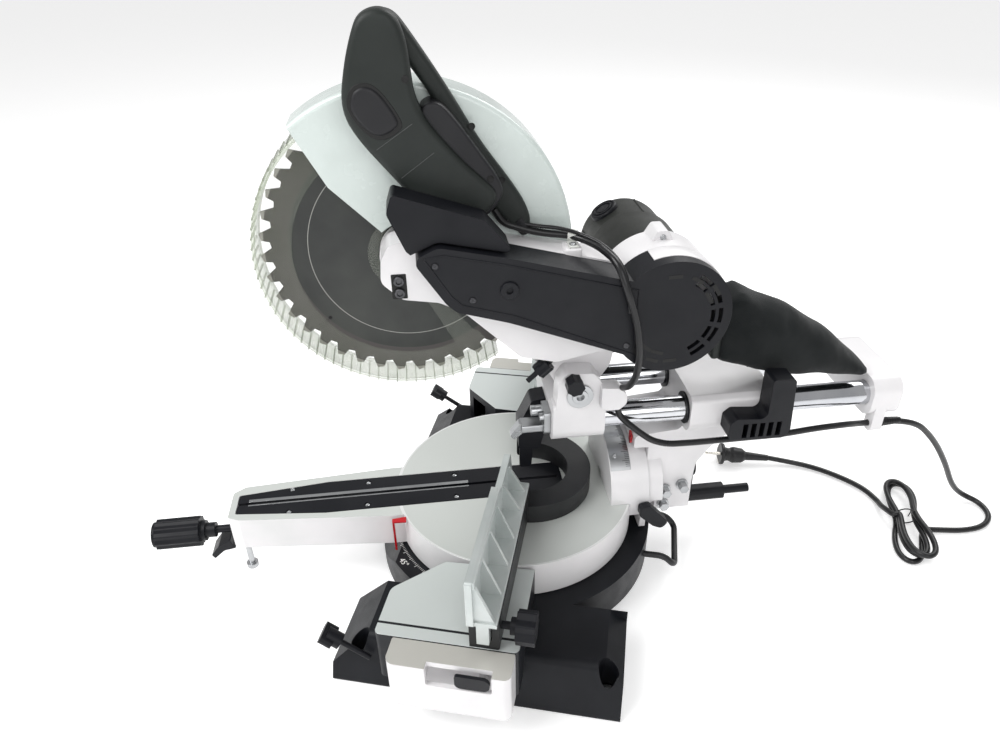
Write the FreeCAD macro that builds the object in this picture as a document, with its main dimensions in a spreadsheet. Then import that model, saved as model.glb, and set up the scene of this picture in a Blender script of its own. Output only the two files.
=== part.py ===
import FreeCAD, Part
import math
import os
import Sketcher
from FreeCAD import Placement, Rotation, Vector

# Sliding compound mitre saw for a 305 mm blade, millimetres, +Z up.
# The origin is on the bench, under the pivot of the table. +X is the right hand of the user,
# who stands at -Y. Everything that the table carries is drawn with the blade in the plane x = 0
# and the arm towards -Y, and is then turned about Z by the mitre angle.

DIMENSIONS = {
    "mitre_angle": 17.13,
    "blade_y": -110.1,
    "blade_z": 441.7,
    "blade_radius": 152.3,
    "blade_kerf": 2.6,
    "hinge_y": 66.8,
    "hinge_z": 275.9,
    "jack_y": -70.0,
    "jack_z": 446.0,
    "motor_y": 150.0,
    "motor_z": 388.0,
    "table_top": 108.9,
    "table_radius": 150.6,
    "table_bottom": 61.6,
    "arm_front": -360.0,
    "arm_root_half": 46.0,
    "arm_nose_half": 27.0,
    "ring_radius": 176.0,
    "ring_top": 60.0,
    "foot_outer": 252.0,
    "foot_front": -169.0,
    "foot_rear": 155.5,
    "wing_end": 263.7,
    "fence_end": 263.0,
    "fence_low_top": 148.9,
    "fence_front": -3.0,
    "fence_back": 28.4,
    "fence_high_top": 209.9,
    "rail_x": 40.0,
    "rail_z": 232.0,
    "rail_radius": 15.0,
    "rail_front": 38.0,
    "rail_rear": 458.0,
    "housing_front": 200.0,
    "housing_rear": 300.0,
    "guard_radius": 170.0,
    "low_guard_radius": 158.0,
    "cord_radius": 3.75,
    "wire_radius": 4.0,
    "far_fence_out": 96.0,
}

doc = FreeCAD.newDocument("mitre_saw")
sheet = doc.addObject("Spreadsheet::Sheet", "dims")
for row, (alias, value) in enumerate(DIMENSIONS.items(), start=1):
    sheet.set("A%d" % row, alias)
    sheet.set("B%d" % row, str(value))
    sheet.setAlias("B%d" % row, alias)
doc.recompute()


def dim(alias):
    """Value of a driving dimension, read from the sheet."""
    return float(sheet.get(alias))


PLANE_ROLE = {"xy": "XY_Plane", "xz": "XZ_Plane", "yz": "YZ_Plane"}
AXIS_ROLE = {"x": "X_Axis", "y": "Y_Axis", "z": "Z_Axis"}
TABLE_TURN = Rotation(Vector(0, 0, 1), dim("mitre_angle"))
pieces = []


def on_table(x=0.0, y=0.0, z=0.0, turn=None):
    """Placement of a piece that the mitre table carries."""
    local = Placement(Vector(x, y, z), turn or Rotation())
    return Placement(Vector(0, 0, 0), TABLE_TURN).multiply(local)


def on_base(x=0.0, y=0.0, z=0.0, turn=None):
    """Placement of a piece that the base carries."""
    return Placement(Vector(x, y, z), turn or Rotation())


def rounded(points, radii=0.0):
    """Closed outline through points as lines and tangent arcs; radii is one number or one per point."""
    count = len(points)
    if not isinstance(radii, (list, tuple)):
        radii = [radii] * count
    corners = [Vector(p[0], p[1], 0) for p in points]
    entry, leave, mid = [], [], []
    for i, corner in enumerate(corners):
        before = (corners[i - 1] - corner).normalize()
        after = (corners[(i + 1) % count] - corner).normalize()
        half = before.getAngle(after) / 2
        if radii[i] <= 0:
            entry.append(corner)
            leave.append(corner)
            mid.append(None)
            continue
        reach = radii[i] / math.tan(half)
        entry.append(corner + before * reach)
        leave.append(corner + after * reach)
        bisector = (before + after).normalize()
        mid.append(corner + bisector * (radii[i] / math.sin(half) - radii[i]))
    edges = []
    for i in range(count):
        if mid[i] is not None:
            edges.append(Part.Arc(entry[i], mid[i], leave[i]))
        following = entry[(i + 1) % count]
        if (leave[i] - following).Length > 1e-6:
            edges.append(Part.LineSegment(leave[i], following))
    return edges


def ring(x, y, radius):
    """Full circle."""
    return [Part.Circle(Vector(x, y, 0), Vector(0, 0, 1), radius)]


def sector(x, y, inner, outer, start, end):
    """Ring sector between two angles in degrees."""
    def at(radius, degrees):
        angle = math.radians(degrees)
        return Vector(x + radius * math.cos(angle), y + radius * math.sin(angle), 0)
    middle = (start + end) / 2
    return [
        Part.Arc(at(outer, start), at(outer, middle), at(outer, end)),
        Part.LineSegment(at(outer, end), at(inner, end)),
        Part.Arc(at(inner, end), at(inner, middle), at(inner, start)),
        Part.LineSegment(at(inner, start), at(outer, start)),
    ]


def box_outline(x0, y0, x1, y1, radius=0.0):
    """Rectangle, with rounded corners where a radius is given."""
    return rounded([(x0, y0), (x1, y0), (x1, y1), (x0, y1)], radius)


class Piece:
    """One sub-part: a PartDesign body made of sketches on its own origin planes."""

    def __init__(self, label, place):
        self.label = label
        self.body = doc.addObject("PartDesign::Body", label)
        self.body.Label = label
        self.body.Placement = place
        self.count = 0
        pieces.append(self.body)

    def origin_feature(self, role):
        return next(f for f in self.body.Origin.OriginFeatures if f.Role == role)

    def sketch(self, plane, loops, offset):
        self.count += 1
        made = self.body.newObject("Sketcher::SketchObject", "%s_sketch_%d" % (self.label, self.count))
        made.AttachmentSupport = [(self.origin_feature(PLANE_ROLE[plane]), "")]
        made.MapMode = "FlatFace"
        made.setExpression("AttachmentOffset.Base.z", offset)
        for loop in loops:
            made.addGeometry(loop, False)
        return made

    def _extrude(self, kind, plane, loops, start, stop):
        lift = "-(%s)" % stop if plane == "xz" else start
        profile = self.sketch(plane, loops, lift)
        made = self.body.newObject(kind, "%s_%d" % (self.label, self.count))
        made.Profile = profile
        made.setExpression("Length", "(%s) - (%s)" % (stop, start))
        if kind == "PartDesign::Pocket":
            made.Reversed = True
        self.body.Tip = made
        return self

    def pad(self, plane, loops, start, stop):
        """Add material between two distances along the plane's axis (expressions of the sheet)."""
        return self._extrude("PartDesign::Pad", plane, loops, str(start), str(stop))

    def pocket(self, plane, loops, start, stop):
        """Take material away between two distances along the plane's axis."""
        return self._extrude("PartDesign::Pocket", plane, loops, str(start), str(stop))

    def _turned(self, kind, plane, loops, axis, angle):
        profile = self.sketch(plane, loops, "0")
        made = self.body.newObject(kind, "%s_%d" % (self.label, self.count))
        made.Profile = profile
        made.ReferenceAxis = (self.origin_feature(AXIS_ROLE[axis]), [""])
        made.setExpression("Angle", str(angle))
        self.body.Tip = made
        return self

    def revolve(self, plane, loops, axis, angle=360):
        """Add a turned shape about an axis of the body's origin."""
        return self._turned("PartDesign::Revolution", plane, loops, axis, angle)

    def groove(self, plane, loops, axis, angle=360):
        """Take a turned shape away."""
        return self._turned("PartDesign::Groove", plane, loops, axis, angle)

    def drill(self, radius, depth, at, direction):
        """Take away a round hole that starts at a point and runs along a direction."""
        self.count += 1
        made = self.body.newObject("PartDesign::SubtractiveCylinder", "%s_hole_%d" % (self.label, self.count))
        made.AttachmentSupport = [(self.origin_feature("XY_Plane"), "")]
        made.MapMode = "FlatFace"
        made.AttachmentOffset = Placement(Vector(*at), Rotation(Vector(0, 0, 1), Vector(*direction)))
        made.setExpression("Radius", str(radius))
        made.setExpression("Height", str(depth))
        self.body.Tip = made
        return self

    def rod(self, radius, length, at, direction):
        """Add a round bar that starts at a point and runs along a direction."""
        self.count += 1
        made = self.body.newObject("PartDesign::AdditiveCylinder", "%s_rod_%d" % (self.label, self.count))
        made.AttachmentSupport = [(self.origin_feature("XY_Plane"), "")]
        made.MapMode = "FlatFace"
        made.AttachmentOffset = Placement(Vector(*at), Rotation(Vector(0, 0, 1), Vector(*direction)))
        made.setExpression("Radius", str(radius))
        made.setExpression("Height", str(length))
        self.body.Tip = made
        return self

    def mirror_x(self):
        """Repeat everything made so far on the other side of the YZ plane."""
        made = self.body.newObject("PartDesign::Mirrored", "%s_mirror" % self.label)
        made.Originals = [f for f in self.body.Group if f.isDerivedFrom("PartDesign::Feature")
                          and not f.isDerivedFrom("PartDesign::Transformed")]
        made.MirrorPlane = (self.origin_feature("YZ_Plane"), [""])
        self.body.Tip = made
        return self


# ---- Base: feet, ring under the table, wings --------------------------------------------------

WING = [(154.0, -54.0), (202.0, -104.8), (dim("wing_end"), -104.8), (dim("wing_end"), 48.0), (150.0, 48.0)]


def flipped(points):
    """The same outline on the other side, kept in order."""
    return [(-x, y) for x, y in reversed(points)]


def bent_path(points):
    """Wire of straight runs and tangent arcs, each arc as large as its two runs allow; and its radii."""
    corners = [Vector(*p) for p in points]
    edges, radii, at = [], [], corners[0]
    for before, corner, after in zip(corners, corners[1:], corners[2:]):
        back = (before - corner)
        forth = (after - corner)
        shorter = min(back.Length, forth.Length)
        back.normalize()
        forth.normalize()
        half = back.getAngle(forth) / 2
        reach = 0.45 * shorter
        radius = reach * math.tan(half)
        start = corner + back * reach
        stop = corner + forth * reach
        bisector = (back + forth).normalize()
        middle = corner + bisector * (radius / math.sin(half) - radius)
        edges.append(Part.LineSegment(at, start).toShape())
        edges.append(Part.Arc(start, middle, stop).toShape())
        radii.append(round(radius, 1))
        at = stop
    edges.append(Part.LineSegment(at, corners[-1]).toShape())
    return Part.Wire(edges), radii


def bent_tube(label, points, size, place):
    """Round cord or wire along its route, as one closed solid; size names its radius."""
    path, radii = bent_path(points)
    heading = Vector(*points[1]) - Vector(*points[0])
    section = Part.Wire([Part.Circle(Vector(*points[0]), heading, dim(size)).toShape()])
    tube = path.makePipeShell([section], True, False)
    expected = math.pi * dim(size) ** 2 * path.Length
    print("%-14s length %7.1f mm, radii %s, volume ratio %.4f" % (label, path.Length, radii, tube.Volume / expected))
    made = doc.addObject("Part::Feature", label)
    made.Label = label
    made.Shape = tube.Solids[0] if tube.Solids else Part.Solid(tube)
    made.Placement = place
    pieces.append(made)


base = Piece("base_casting", on_base())
base.pad("xy", [ring(0, 0, dim("ring_radius"))], 14, "dims.ring_top")
for side in (1, -1):
    foot = [(150, 0), (dim("foot_outer"), 0), (228, 60), (150, 60)]
    section = [(side * x, z) for x, z in foot]
    base.pad("xz", [rounded(section, [0, 3, 10, 0])], "dims.foot_front", "dims.foot_rear")
    wing = WING if side > 0 else flipped(WING)
    base.pad("xy", [rounded(wing, [0, 14, 6, 6, 0] if side > 0 else [0, 6, 6, 14, 0])], 40, "dims.table_top")
slope = [(-180, 22), (-169, 22), (-128, 61), (-180, 61)]
base.pocket("yz", [rounded(slope)], -260, 260)
# The bevel lock handle passes over the rear corners of the feet, which slope down for it.
rear_slope = [(134, 61), (157, 43), (157, 61)]
for low, high in ((-260, -151), (151, 260)):
    base.pocket("yz", [rounded(rear_slope)], low, high)
base.pocket("xy", [ring(0, 0, dim("table_radius") + 2.4)], "dims.ring_top", 112)
base.pocket("xy", [ring(0, 0, 160)], -1, 50)
for side in (1, -1):
    base.pocket("xy", [box_outline(side * 184 - 26, -122, side * 184 + 26, 142, 8)], -1, 50)
    base.pocket("xy", [box_outline(side * 214 - 42, -96, side * 214 + 42, 40, 8)], 45, 98)
    for foot_y in (-139, 139):
        base.pocket("xy", [ring(side * 226, foot_y, 5)], -1, 61)
        base.pocket("xy", [ring(side * 226, foot_y, 11)], 14, 61)
    for rod_y in (-52, 14):
        base.drill(6.3, 104, (side * 266, rod_y, 76), (-side, 0, 0))
    base.drill(3.2, 14, (side * 243, -133.0, 45.5), (0, 0.84, -0.54))
base.pad("xy", [ring(0, 0, 26)], 20, 52)
base.drill(8.3, 60, (0, 0, 10), (0, 0, 1))
for wire_x in (-38, 38):
    base.drill(4.05, 26, (wire_x, 178, 42), (0, -1, 0))

WIRE = [(38, 153, 42), (38, 198, 42), (38, 212, 27), (-38, 212, 27), (-38, 198, 42), (-38, 153, 42)]
bent_tube("rear_support_wire", WIRE, "wire_radius", on_base())

# ---- Lower fence with the bridge behind the blade, and the two sliding fences ------------------

fence = Piece("lower_fence", on_base())
for side in (1, -1):
    near_end, far_end = (60, "dims.fence_end") if side > 0 else ("-dims.fence_end", -74)
    channel = [(dim("fence_front"), 109.4), (dim("fence_back"), 109.4), (dim("fence_back"), dim("fence_low_top")),
               (20.4, dim("fence_low_top")), (20.4, 122), (5.2, 122), (5.2, dim("fence_low_top")),
               (dim("fence_front"), dim("fence_low_top"))]
    fence.pad("yz", [rounded(channel, [0, 3, 2, 1, 1, 1, 1, 1])], near_end, far_end)
    fence.pad("xy", [box_outline(side * 225 - 26, 0, side * 225 + 26, 26)], "dims.table_top", 110)
fence.pad("xy", [sector(0, 20, 48, 77, -8, 188)], 109.4, 135)
for side in (1, -1):
    fence.drill(4.2, 12, (side * 250, 18, 133), (0, 1, 0))

TONGUE = box_outline(6.4, 123.5, 19.2, 150, 0.8)


def sliding_fence(label, shift, side):
    """Upper fence: tall face, top strip, foot, tongue in the channel and ribs behind."""
    made = Piece(label, on_base(shift))
    corner, slant = (38, 51) if side > 0 else (42, 88)
    face = [(slant, 192), (corner, 149.3), (272, 149.3), (272, dim("fence_high_top")), (131, dim("fence_high_top")),
            (128, 192)]
    face = [(side * x, z) for x, z in face]
    made.pad("xz", [rounded(face, [3, 1, 2, 3, 3, 2])], "dims.fence_front", 4.4)
    low, high = (131, 270) if side > 0 else (-270, -131)
    made.pad("yz", [box_outline(2, 200, 6.9, dim("fence_high_top") - 0.2, 1)], low, high)
    low, high = (56, 270) if side > 0 else (-270, -56)
    made.pad("yz", [box_outline(2, 149.3, 27.5, 154.5, 1)], low, high)
    low, high = (84, 270) if side > 0 else (-270, -84)
    made.pad("yz", [TONGUE], low, high)
    for rib in (70, 104, 150, 190, 230, 266) if side > 0 else (98, 150, 190, 230, 266):
        height = 188 if rib < 120 else 203
        made.pad("yz", [rounded([(3, 152), (26, 152), (6, height), (3, height)])], side * rib - 2, side * rib + 2)
    return made


sliding_fence("sliding_fence_right", 0, 1)
sliding_fence("sliding_fence_left", -dim("far_fence_out"), -1)


def knurled(radius, count, depth):
    """Round outline with finger flutes."""
    points = []
    for i in range(count * 2):
        reach = radius if i % 2 == 0 else radius - depth
        angle = math.pi * i / count
        points.append((reach * math.cos(angle), reach * math.sin(angle)))
    return rounded(points, radius * 0.12)


for side, label in ((1, "fence_knob_right"), (-1, "fence_knob_left")):
    knob = Piece(label, on_base(side * 250, 0, 133, Rotation(Vector(1, 0, 0), -90)))
    knob.pad("xy", [ring(0, 0, 4.1)], 19.6, 42)
    knob.pad("xy", [ring(0, 0, 9)], 38, 46)
    knob.pad("xy", [knurled(19, 7, 4.5)], 44, 64)

# ---- Side extensions: castings on two rods, flip stops and clamp knobs -------------------------


def extension(label, side):
    """Extension casting with its two rods, drawn for the right side and turned for the left."""
    made = Piece(label, on_base())
    top = [(265, -84), (297, -84), (297, 45), (265, 45)] if side > 0 else [(-265, 45), (-297, 45), (-297, -84), (-265, -84)]
    made.pad("xy", [rounded(top, [2, 10, 8, 2] if side > 0 else [2, 8, 10, 2])], 44, "dims.table_top")
    low, high = (271, 292) if side > 0 else (-292, -271)
    made.pocket("xy", [box_outline(low, -78, high, 39, 4)], 40, 102)
    window_low, window_high = (288, 300) if side > 0 else (-300, -288)
    made.pocket("yz", [box_outline(-42, 84, 26, 112, 3)], window_low, window_high)
    for rod_y in (-52, 14):
        made.rod(6, 132 - 6, (side * 293, rod_y, 76), (-side, 0, 0))
    return made


for side, hand in ((1, "right"), (-1, "left")):
    extension("extension_" + hand, side)
    stop = Piece("flip_stop_" + hand, on_base(side * 292.6, 15, 95))
    tab = rounded([(-27, -9), (9, -9), (9, 9), (-27, 9)], [6, 8, 8, 3])
    stop.pad("yz", [tab], 0.4 if side > 0 else -4, 4 if side > 0 else -0.4)
    clamp = Piece("extension_knob_" + hand, on_base(side * 243, -133.0, 45.5, Rotation(Vector(0, 0, 1), Vector(0, -0.84, 0.54))))
    clamp.pad("xy", [ring(0, 0, 3.1)], -12, 34)
    clamp.pad("xy", [rounded([(-13.5, -5), (13.5, -5), (13.5, 5), (-13.5, 5)], 4.5)], 34, 49)
    clamp.pad("xy", [ring(0, 0, 9)], 26, 44)
# ---- Mitre table ---------------------------------------------------------------------------------

table = Piece("turntable", on_table())
table.pad("xy", [ring(0, 0, dim("table_radius"))], "dims.table_bottom", "dims.table_top")
arm = [(-dim("arm_root_half"), -120), (-dim("arm_root_half"), -160), (-dim("arm_nose_half") - 6, dim("arm_front") + 14),
       (-dim("arm_nose_half") + 4, dim("arm_front")), (dim("arm_nose_half") - 4, dim("arm_front")),
       (dim("arm_nose_half") + 2, dim("arm_front") + 14), (dim("arm_root_half"), -160), (dim("arm_root_half"), -120)]
table.pad("xy", [rounded(arm, [0, 12, 6, 5, 5, 6, 12, 0])], 63, "dims.table_top")
table.pocket("xy", [ring(0, 0, 142)], 55, 100)
inner_arm = [(-34, -110), (-34, -170), (-20, -345), (20, -345), (34, -170), (34, -110)]
table.pocket("xy", [rounded(inner_arm, [0, 8, 4, 4, 8, 0])], 55, 100)
table.pad("xy", [ring(0, 0, 24)], "dims.ring_top + 0.3", 101)
BOARD = [(-29, 62), (-29, -240), (-17, -352), (17, -352), (29, -240), (29, 62)]
table.pocket("xy", [rounded([(x * 1.02, y) for x, y in BOARD], [2, 10, 3, 3, 10, 2])], 104, 112)
table.pocket("xy", [box_outline(-6, -344, 6, -26, 5)], 98, 112)
table.drill(8.05, 60, (0, 0, 55), (0, 0, 1))
table.drill(5.05, 30, (0, -370, 72), (0, 1, 0))

boards = Piece("kerf_boards", on_table())
for side in (1, -1):
    half = [(2.2, 61.5), (2.2, -351), (16.5, -351), (28.6, -240), (28.6, 61.5)]
    half = [(side * x, y) for x, y in half]
    boards.pad("xy", [rounded(half, [1, 1, 3, 9, 2])], 104, "dims.table_top + 0.1")
boards.pad("xy", [box_outline(-3, 56, 3, 61.5)], 104, "dims.table_top + 0.1")
SCREWS = [(21, -286), (21, -189), (21, -77), (-21, -286), (-21, -189), (-21, -77)]
for x, y in SCREWS:
    boards.drill(3.6, 8, (x, y, 103.9), (0, 0, 1))

pointer = Piece("mitre_pointer", on_table())
pointer.pad("xy", [rounded([(52, -141), (61, -141), (60, -158), (54, -158)], 1)], "dims.table_top", "dims.table_top + 1.6")
pointer.pad("xz", [rounded([(54, 110), (60, 110), (60, 64), (57, 61.6), (54, 64)])], -158, -155.6)

pivot = Piece("pivot_bolt", on_table())
pivot.pad("xy", [ring(0, 0, 8)], 8, 101)
pivot.pad("xy", [[e for e in rounded([(13 * math.cos(math.pi * k / 3), 13 * math.sin(math.pi * k / 3)) for k in range(6)])]], 2, 9)
pivot.pad("xy", [ring(0, 0, 15)], 9, 12)

trunnion = Piece("bevel_trunnion", on_table(0, 0, dim("table_top")))
trunnion.pad("xz", [sector(0, 0, 8.05, 66, -20, 200)], 112, 160)
trunnion.pad("xz", [rounded([(-60, -46.9), (60, -46.9), (62, -20), (40, 0.6), (-40, 0.6), (-62, -20)], [3, 3, 6, 0, 0, 6])], 152.5, 160)
trunnion.pocket("xz", [ring(0, 0, 8.05)], 100, 170)
trunnion.pocket("xy", [ring(0, 0, dim("table_radius") + 0.05)], -60, 0.05)

grip = Piece("mitre_grip", on_table(0, -461, 72, Rotation(Vector(1, 0, 0), -90)))
grip.pad("xy", [knurled(20, 12, 2.6)], 4, 58)
grip.pad("xy", [ring(0, 0, 16)], 0, 4)
grip.pad("xy", [ring(0, 0, 13)], 58, 64)
grip.pad("xy", [ring(0, 0, 9.5)], 64, 76)
grip.pad("xy", [ring(0, 0, 5)], 76, 124)

lever = Piece("detent_lever", on_table(0, -364, 58))
lever.pad("yz", [rounded([(-2, -3), (2.5, -9), (-14, -12), (-28, -24), (-31, -18), (-20, -4), (-4, 4.6)], [1, 2, 6, 1, 1, 4, 1])], -13, 13)

arm_foot = Piece("arm_foot", on_table(26, -343, 0))
arm_foot.pad("xy", [ring(0, 0, 3.6)], 34, 63)
arm_foot.pad("xy", [ring(0, 0, 7)], 29, 35)

lever2 = Piece("bevel_stop_lever", on_table(0, 154, 104))
lever2.pad("yz", [rounded([(-8, 6), (4, 9), (30, -20), (22, -30), (10, -24), (-8, -6)], [5, 5, 6, 6, 4, 5])], 68, 78)
lever2.pad("yz", [ring(0, 0, 4)], 66.3, 68)

# ---- Bevel arm with the slide housing --------------------------------------------------------------

arm_casting = Piece("bevel_arm", on_table())
AXIS_Z = dim("table_top")
arm_casting.pad("xz", [sector(0, AXIS_Z, 6, 64, 0, 180)], 160.4, 178)
arm_casting.pad("xz", [ring(0, AXIS_Z, 46)], 160.4, 178)
arm_casting.pad("xz", [box_outline(-42, 70, 42, 136, 8)], 176, 222)
# At full bevel the left lower corner swings down over the base's foot, so it is cut away.
arm_casting.pocket("xz", [rounded([(-44, 68), (-26.3, 68), (-44, 85.7)])], 175, 223)
neck = [(160.4, 118), (160.4, 177), (142, 178), (142, 196), (196, 201), (205, 212), (296, 212), (268, 196), (240, 170), (224, 146), (222, 118)]
arm_casting.pad("yz", [rounded(neck, [0, 0, 2, 8, 6, 0, 0, 20, 24, 20, 0])], -42, 42)
arm_casting.pad("xz", [rounded([(-62, 206), (62, 206), (62, 252), (54, 257), (-54, 257), (-62, 252)], [16, 16, 5, 5, 5, 5])], "dims.housing_front", "dims.housing_rear")
for side in (1, -1):
    arm_casting.pocket("xz", [ring(side * dim("rail_x"), dim("rail_z"), 15.3)], 190, 310)
arm_casting.pocket("yz", [box_outline(228, 130, 262, 172, 3)], 50, 70)
arm_casting.drill(8.05, 90, (0, 150, AXIS_Z), (0, 1, 0))
arm_casting.drill(4.1, 12, (-52, 232, 216), (-1, 0, 0))

bevel_pointer = Piece("bevel_pointer", on_table())
bevel_pointer.pad("xz", [rounded([(24, 193), (34, 190), (33, 180), (30, 176.4), (26, 181)], 1)], 139.4, 142)

bolts = Piece("bevel_stop_bolts", on_table())
for bolt_y, bolt_z, reach in ((187, 108, 9), (209, 114, 9), (187, 84, 6)):
    head = [(bolt_y + 6.2 * math.cos(math.pi * k / 3), bolt_z + 6.2 * math.sin(math.pi * k / 3)) for k in range(6)]
    bolts.pad("yz", [rounded(head)], 46, 46 + reach)
    bolts.pad("yz", [ring(bolt_y, bolt_z, 7.6)], 42, 46)

hook = Piece("cord_hook", on_table())
hook_side = [(238, 214), (306, 211), (312, 222), (307, 291), (280, 293), (281, 240), (246, 243), (238, 236)]
hook.pad("yz", [rounded(hook_side, [6, 8, 6, 4, 4, 8, 5, 5])], 62.2, 88)
for rib_y in (254, 264, 274, 284, 294):
    hook.pocket("yz", [box_outline(rib_y, 215.5, rib_y + 6, 235)], 72, 90)

lock = Piece("bevel_lock_handle", on_table(0, 0, AXIS_Z))
lock.pad("xz", [ring(0, 0, 15)], 224, 238)
lock.pad("xz", [ring(0, 0, 8)], 162, 224)
lock.pad("xz", [rounded([(-9, 6), (-9, -60), (9, -60), (9, 6)], [4, 8, 8, 4])], 231, 238)
lock.pad("xz", [rounded([(-10, -41), (-10, -62), (10, -62), (10, -41)], 8)], 236, 286)
lock.pad("xz", [ring(0, -51, 6)], 286, 322)

slide_lock = Piece("slide_lock_knob", on_table(-62.4, 232, 216, Rotation(Vector(0, 0, 1), Vector(-1, 0, 0))))
slide_lock.pad("xy", [ring(0, 0, 4)], -8, 10)
slide_lock.pad("xy", [knurled(16, 6, 4)], 8, 28)

# ---- Carriage: rails, hinge bracket, rear cap ------------------------------------------------------

rails = Piece("slide_rails", on_table())
for side in (1, -1):
    rails.pad("xz", [ring(side * dim("rail_x"), dim("rail_z"), dim("rail_radius")), ring(side * dim("rail_x"), dim("rail_z"), 12)], 46, "dims.rail_rear")

bracket = Piece("rail_bracket", on_table())
saddle = [(-62, 229), (-42.5, 209), (62, 209), (62, 262), (37.8, 262), (37.8, 249), (-37.8, 249), (-37.8, 262), (-62, 262)]
bracket.pad("xz", [rounded(saddle, [4, 4, 18, 4, 3, 3, 3, 3, 4])], 37, 98)
for side in (1, -1):
    low, high = (37.8, 62) if side > 0 else (-62, -37.8)
    lug = [(40, 252), (97, 252), (92, 290), (82, 304), (50, 306), (42, 292)]
    bracket.pad("yz", [rounded(lug, [0, 0, 8, 8, 8, 8])], low, high)
    bracket.pocket("xz", [ring(side * dim("rail_x"), dim("rail_z"), 15.05)], 46, 110)
ear = [(90, 262), (97, 258.5), (111, 258.5), (119, 266), (119, 278), (110, 287), (90, 289)]
bracket.pad("yz", [rounded(ear, [0, 0, 6, 7, 7, 6, 0])], 52, 71)
bracket.drill(9.05, 140, (-70, dim("hinge_y"), dim("hinge_z")), (1, 0, 0))
bracket.drill(3.3, 20, (46, 58, 298), (1, 0, 0))
bracket.pocket("xz", [box_outline(-20, 205, 20, 241, 6)], 44, 110)

cap = Piece("rail_end_cap", on_table())
cap.pad("xz", [box_outline(-62, 206, 62, 257, 18)], 425, 461)
cap.pad("xz", [rounded([(46, 212), (46, 186), (62, 186), (62, 225)], [0, 6, 6, 0])], 432, 446)
for side in (1, -1):
    cap.pocket("xz", [ring(side * dim("rail_x"), dim("rail_z"), 15.05)], 420, 458)
cap.drill(4.0, 20, (54, 430, 195), (0, 1, 0))

shaft = Piece("hinge_shaft", on_table(0, dim("hinge_y"), dim("hinge_z")))
shaft.pad("yz", [ring(0, 0, 9)], -64, 66)
shaft.pad("yz", [ring(0, 0, 15)], 62.2, 64.5)
shaft.pocket("yz", [ring(0, 0, 4.5)], 62, 67)

spring = Piece("return_spring", on_table(0, dim("hinge_y"), dim("hinge_z")))
spring.pad("yz", [ring(0, 0, 17), ring(0, 0, 14)], -37.5, -20)

pin = Piece("hold_down_pin", on_table(0, 58, 298))
pin.pad("yz", [ring(0, 0, 3)], 48, 66)
pin.pad("yz", [knurled(10.5, 7, 1.6)], 65.2, 81)

stop_lever = Piece("depth_stop", on_table())
stop_lever.pad("xz", [rounded([(20, 214), (50, 214), (50, 246), (20, 246)], [4, 6, 4, 4])], 29, 36.7)
stop_lever.pad("xz", [rounded([(22, 214), (42, 214), (42, 224), (22, 224)], 2)], 4, 29)
stop_lever.pad("yz", [rounded([(4, 224), (-9, 206), (-4, 200), (12, 214)], [3, 2, 2, 3])], 22, 34)
stop_lever.pad("xz", [ring(44, 238, 5)], 24, 29)
stop_lever.pad("xz", [ring(30, 238, 6.5)], 16, 29)

chute = Piece("dust_chute", on_table())
chute_side = [(36.7, 242), (20, 240), (4, 205), (4, 170), (30, 167), (36.7, 196)]
chute.pad("yz", [rounded(chute_side, [0, 6, 10, 3, 3, 8])], -13.4, 13.4)
inside = [(34, 236), (24, 234), (8, 203), (8, 150), (27, 150), (33, 200)]
chute.pocket("yz", [rounded(inside, [3, 5, 9, 0, 0, 8])], -11, 11)
chute.pad("yz", [rounded([(5, 174), (5, 140), (20, 140), (22, 174)], [0, 4, 4, 0])], -13, -10.6)
chute.pad("yz", [rounded([(5, 174), (5, 140), (20, 140), (22, 174)], [0, 4, 4, 0])], 10.6, 13)

# ---- Head ------------------------------------------------------------------------------------------

HINGE = (dim("hinge_y"), dim("hinge_z"))
ARBOR = (dim("blade_y"), dim("blade_z"))
JACK = (dim("jack_y"), dim("jack_z"))
MOTOR = (dim("motor_y"), dim("motor_z"))

head = Piece("head_casting", on_table())
case = [(-138, 452), (-130, 468), (-108, 474), (-96, 465), (-20, 462), (62, 446), (98, 436), (110, 380), (98, 334),
        (40, 322), (0, 332), (-60, 392), (-84, 404), (-120, 410), (-140, 430)]
head.pad("yz", [rounded(case, [10, 10, 6, 8, 10, 6, 0, 0, 0, 12, 12, 20, 14, 14, 12])], 26, 61)
head.pad("yz", [ring(MOTOR[0], MOTOR[1], 62)], 18, 61)
head.pocket("yz", [ring(HINGE[0], HINGE[1], 49)], 37.5, 62)
web = [(-10, 340), (32, 300), (50, 268), (66, 256), (84, 264), (106, 300), (112, 340), (60, 360)]
head.pad("yz", [rounded(web, [0, 14, 10, 16, 14, 20, 0, 0])], 26, 37.4)
head.pad("yz", [ring(HINGE[0], HINGE[1], 20)], -19.5, 37.4)
head.pad("yz", [ring(HINGE[0], HINGE[1], 13)], -37.4, -19)
head.pad("yz", [ring(ARBOR[0], ARBOR[1], 30)], 9, 27)
head.drill(9.1, 90, (-45, HINGE[0], HINGE[1]), (1, 0, 0))
head.pocket("yz", [ring(ARBOR[0], ARBOR[1], 12.58)], 0, 60)
head.pocket("yz", [ring(ARBOR[0], ARBOR[1], 25)], 38, 52)
head.pocket("yz", [ring(JACK[0], JACK[1], 17.2)], 38, 62)
head.pocket("yz", [ring(MOTOR[0], MOTOR[1], 8.1)], 0, 62)
head.pocket("yz", [ring(MOTOR[0], MOTOR[1], 50)], 10, 40)
head.drill(3.06, 50, (48, 24, 306), (0, 0.72, 0.69))
head.rod(5, 12, (53, 58, 440), (0, 0, 1))

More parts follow.
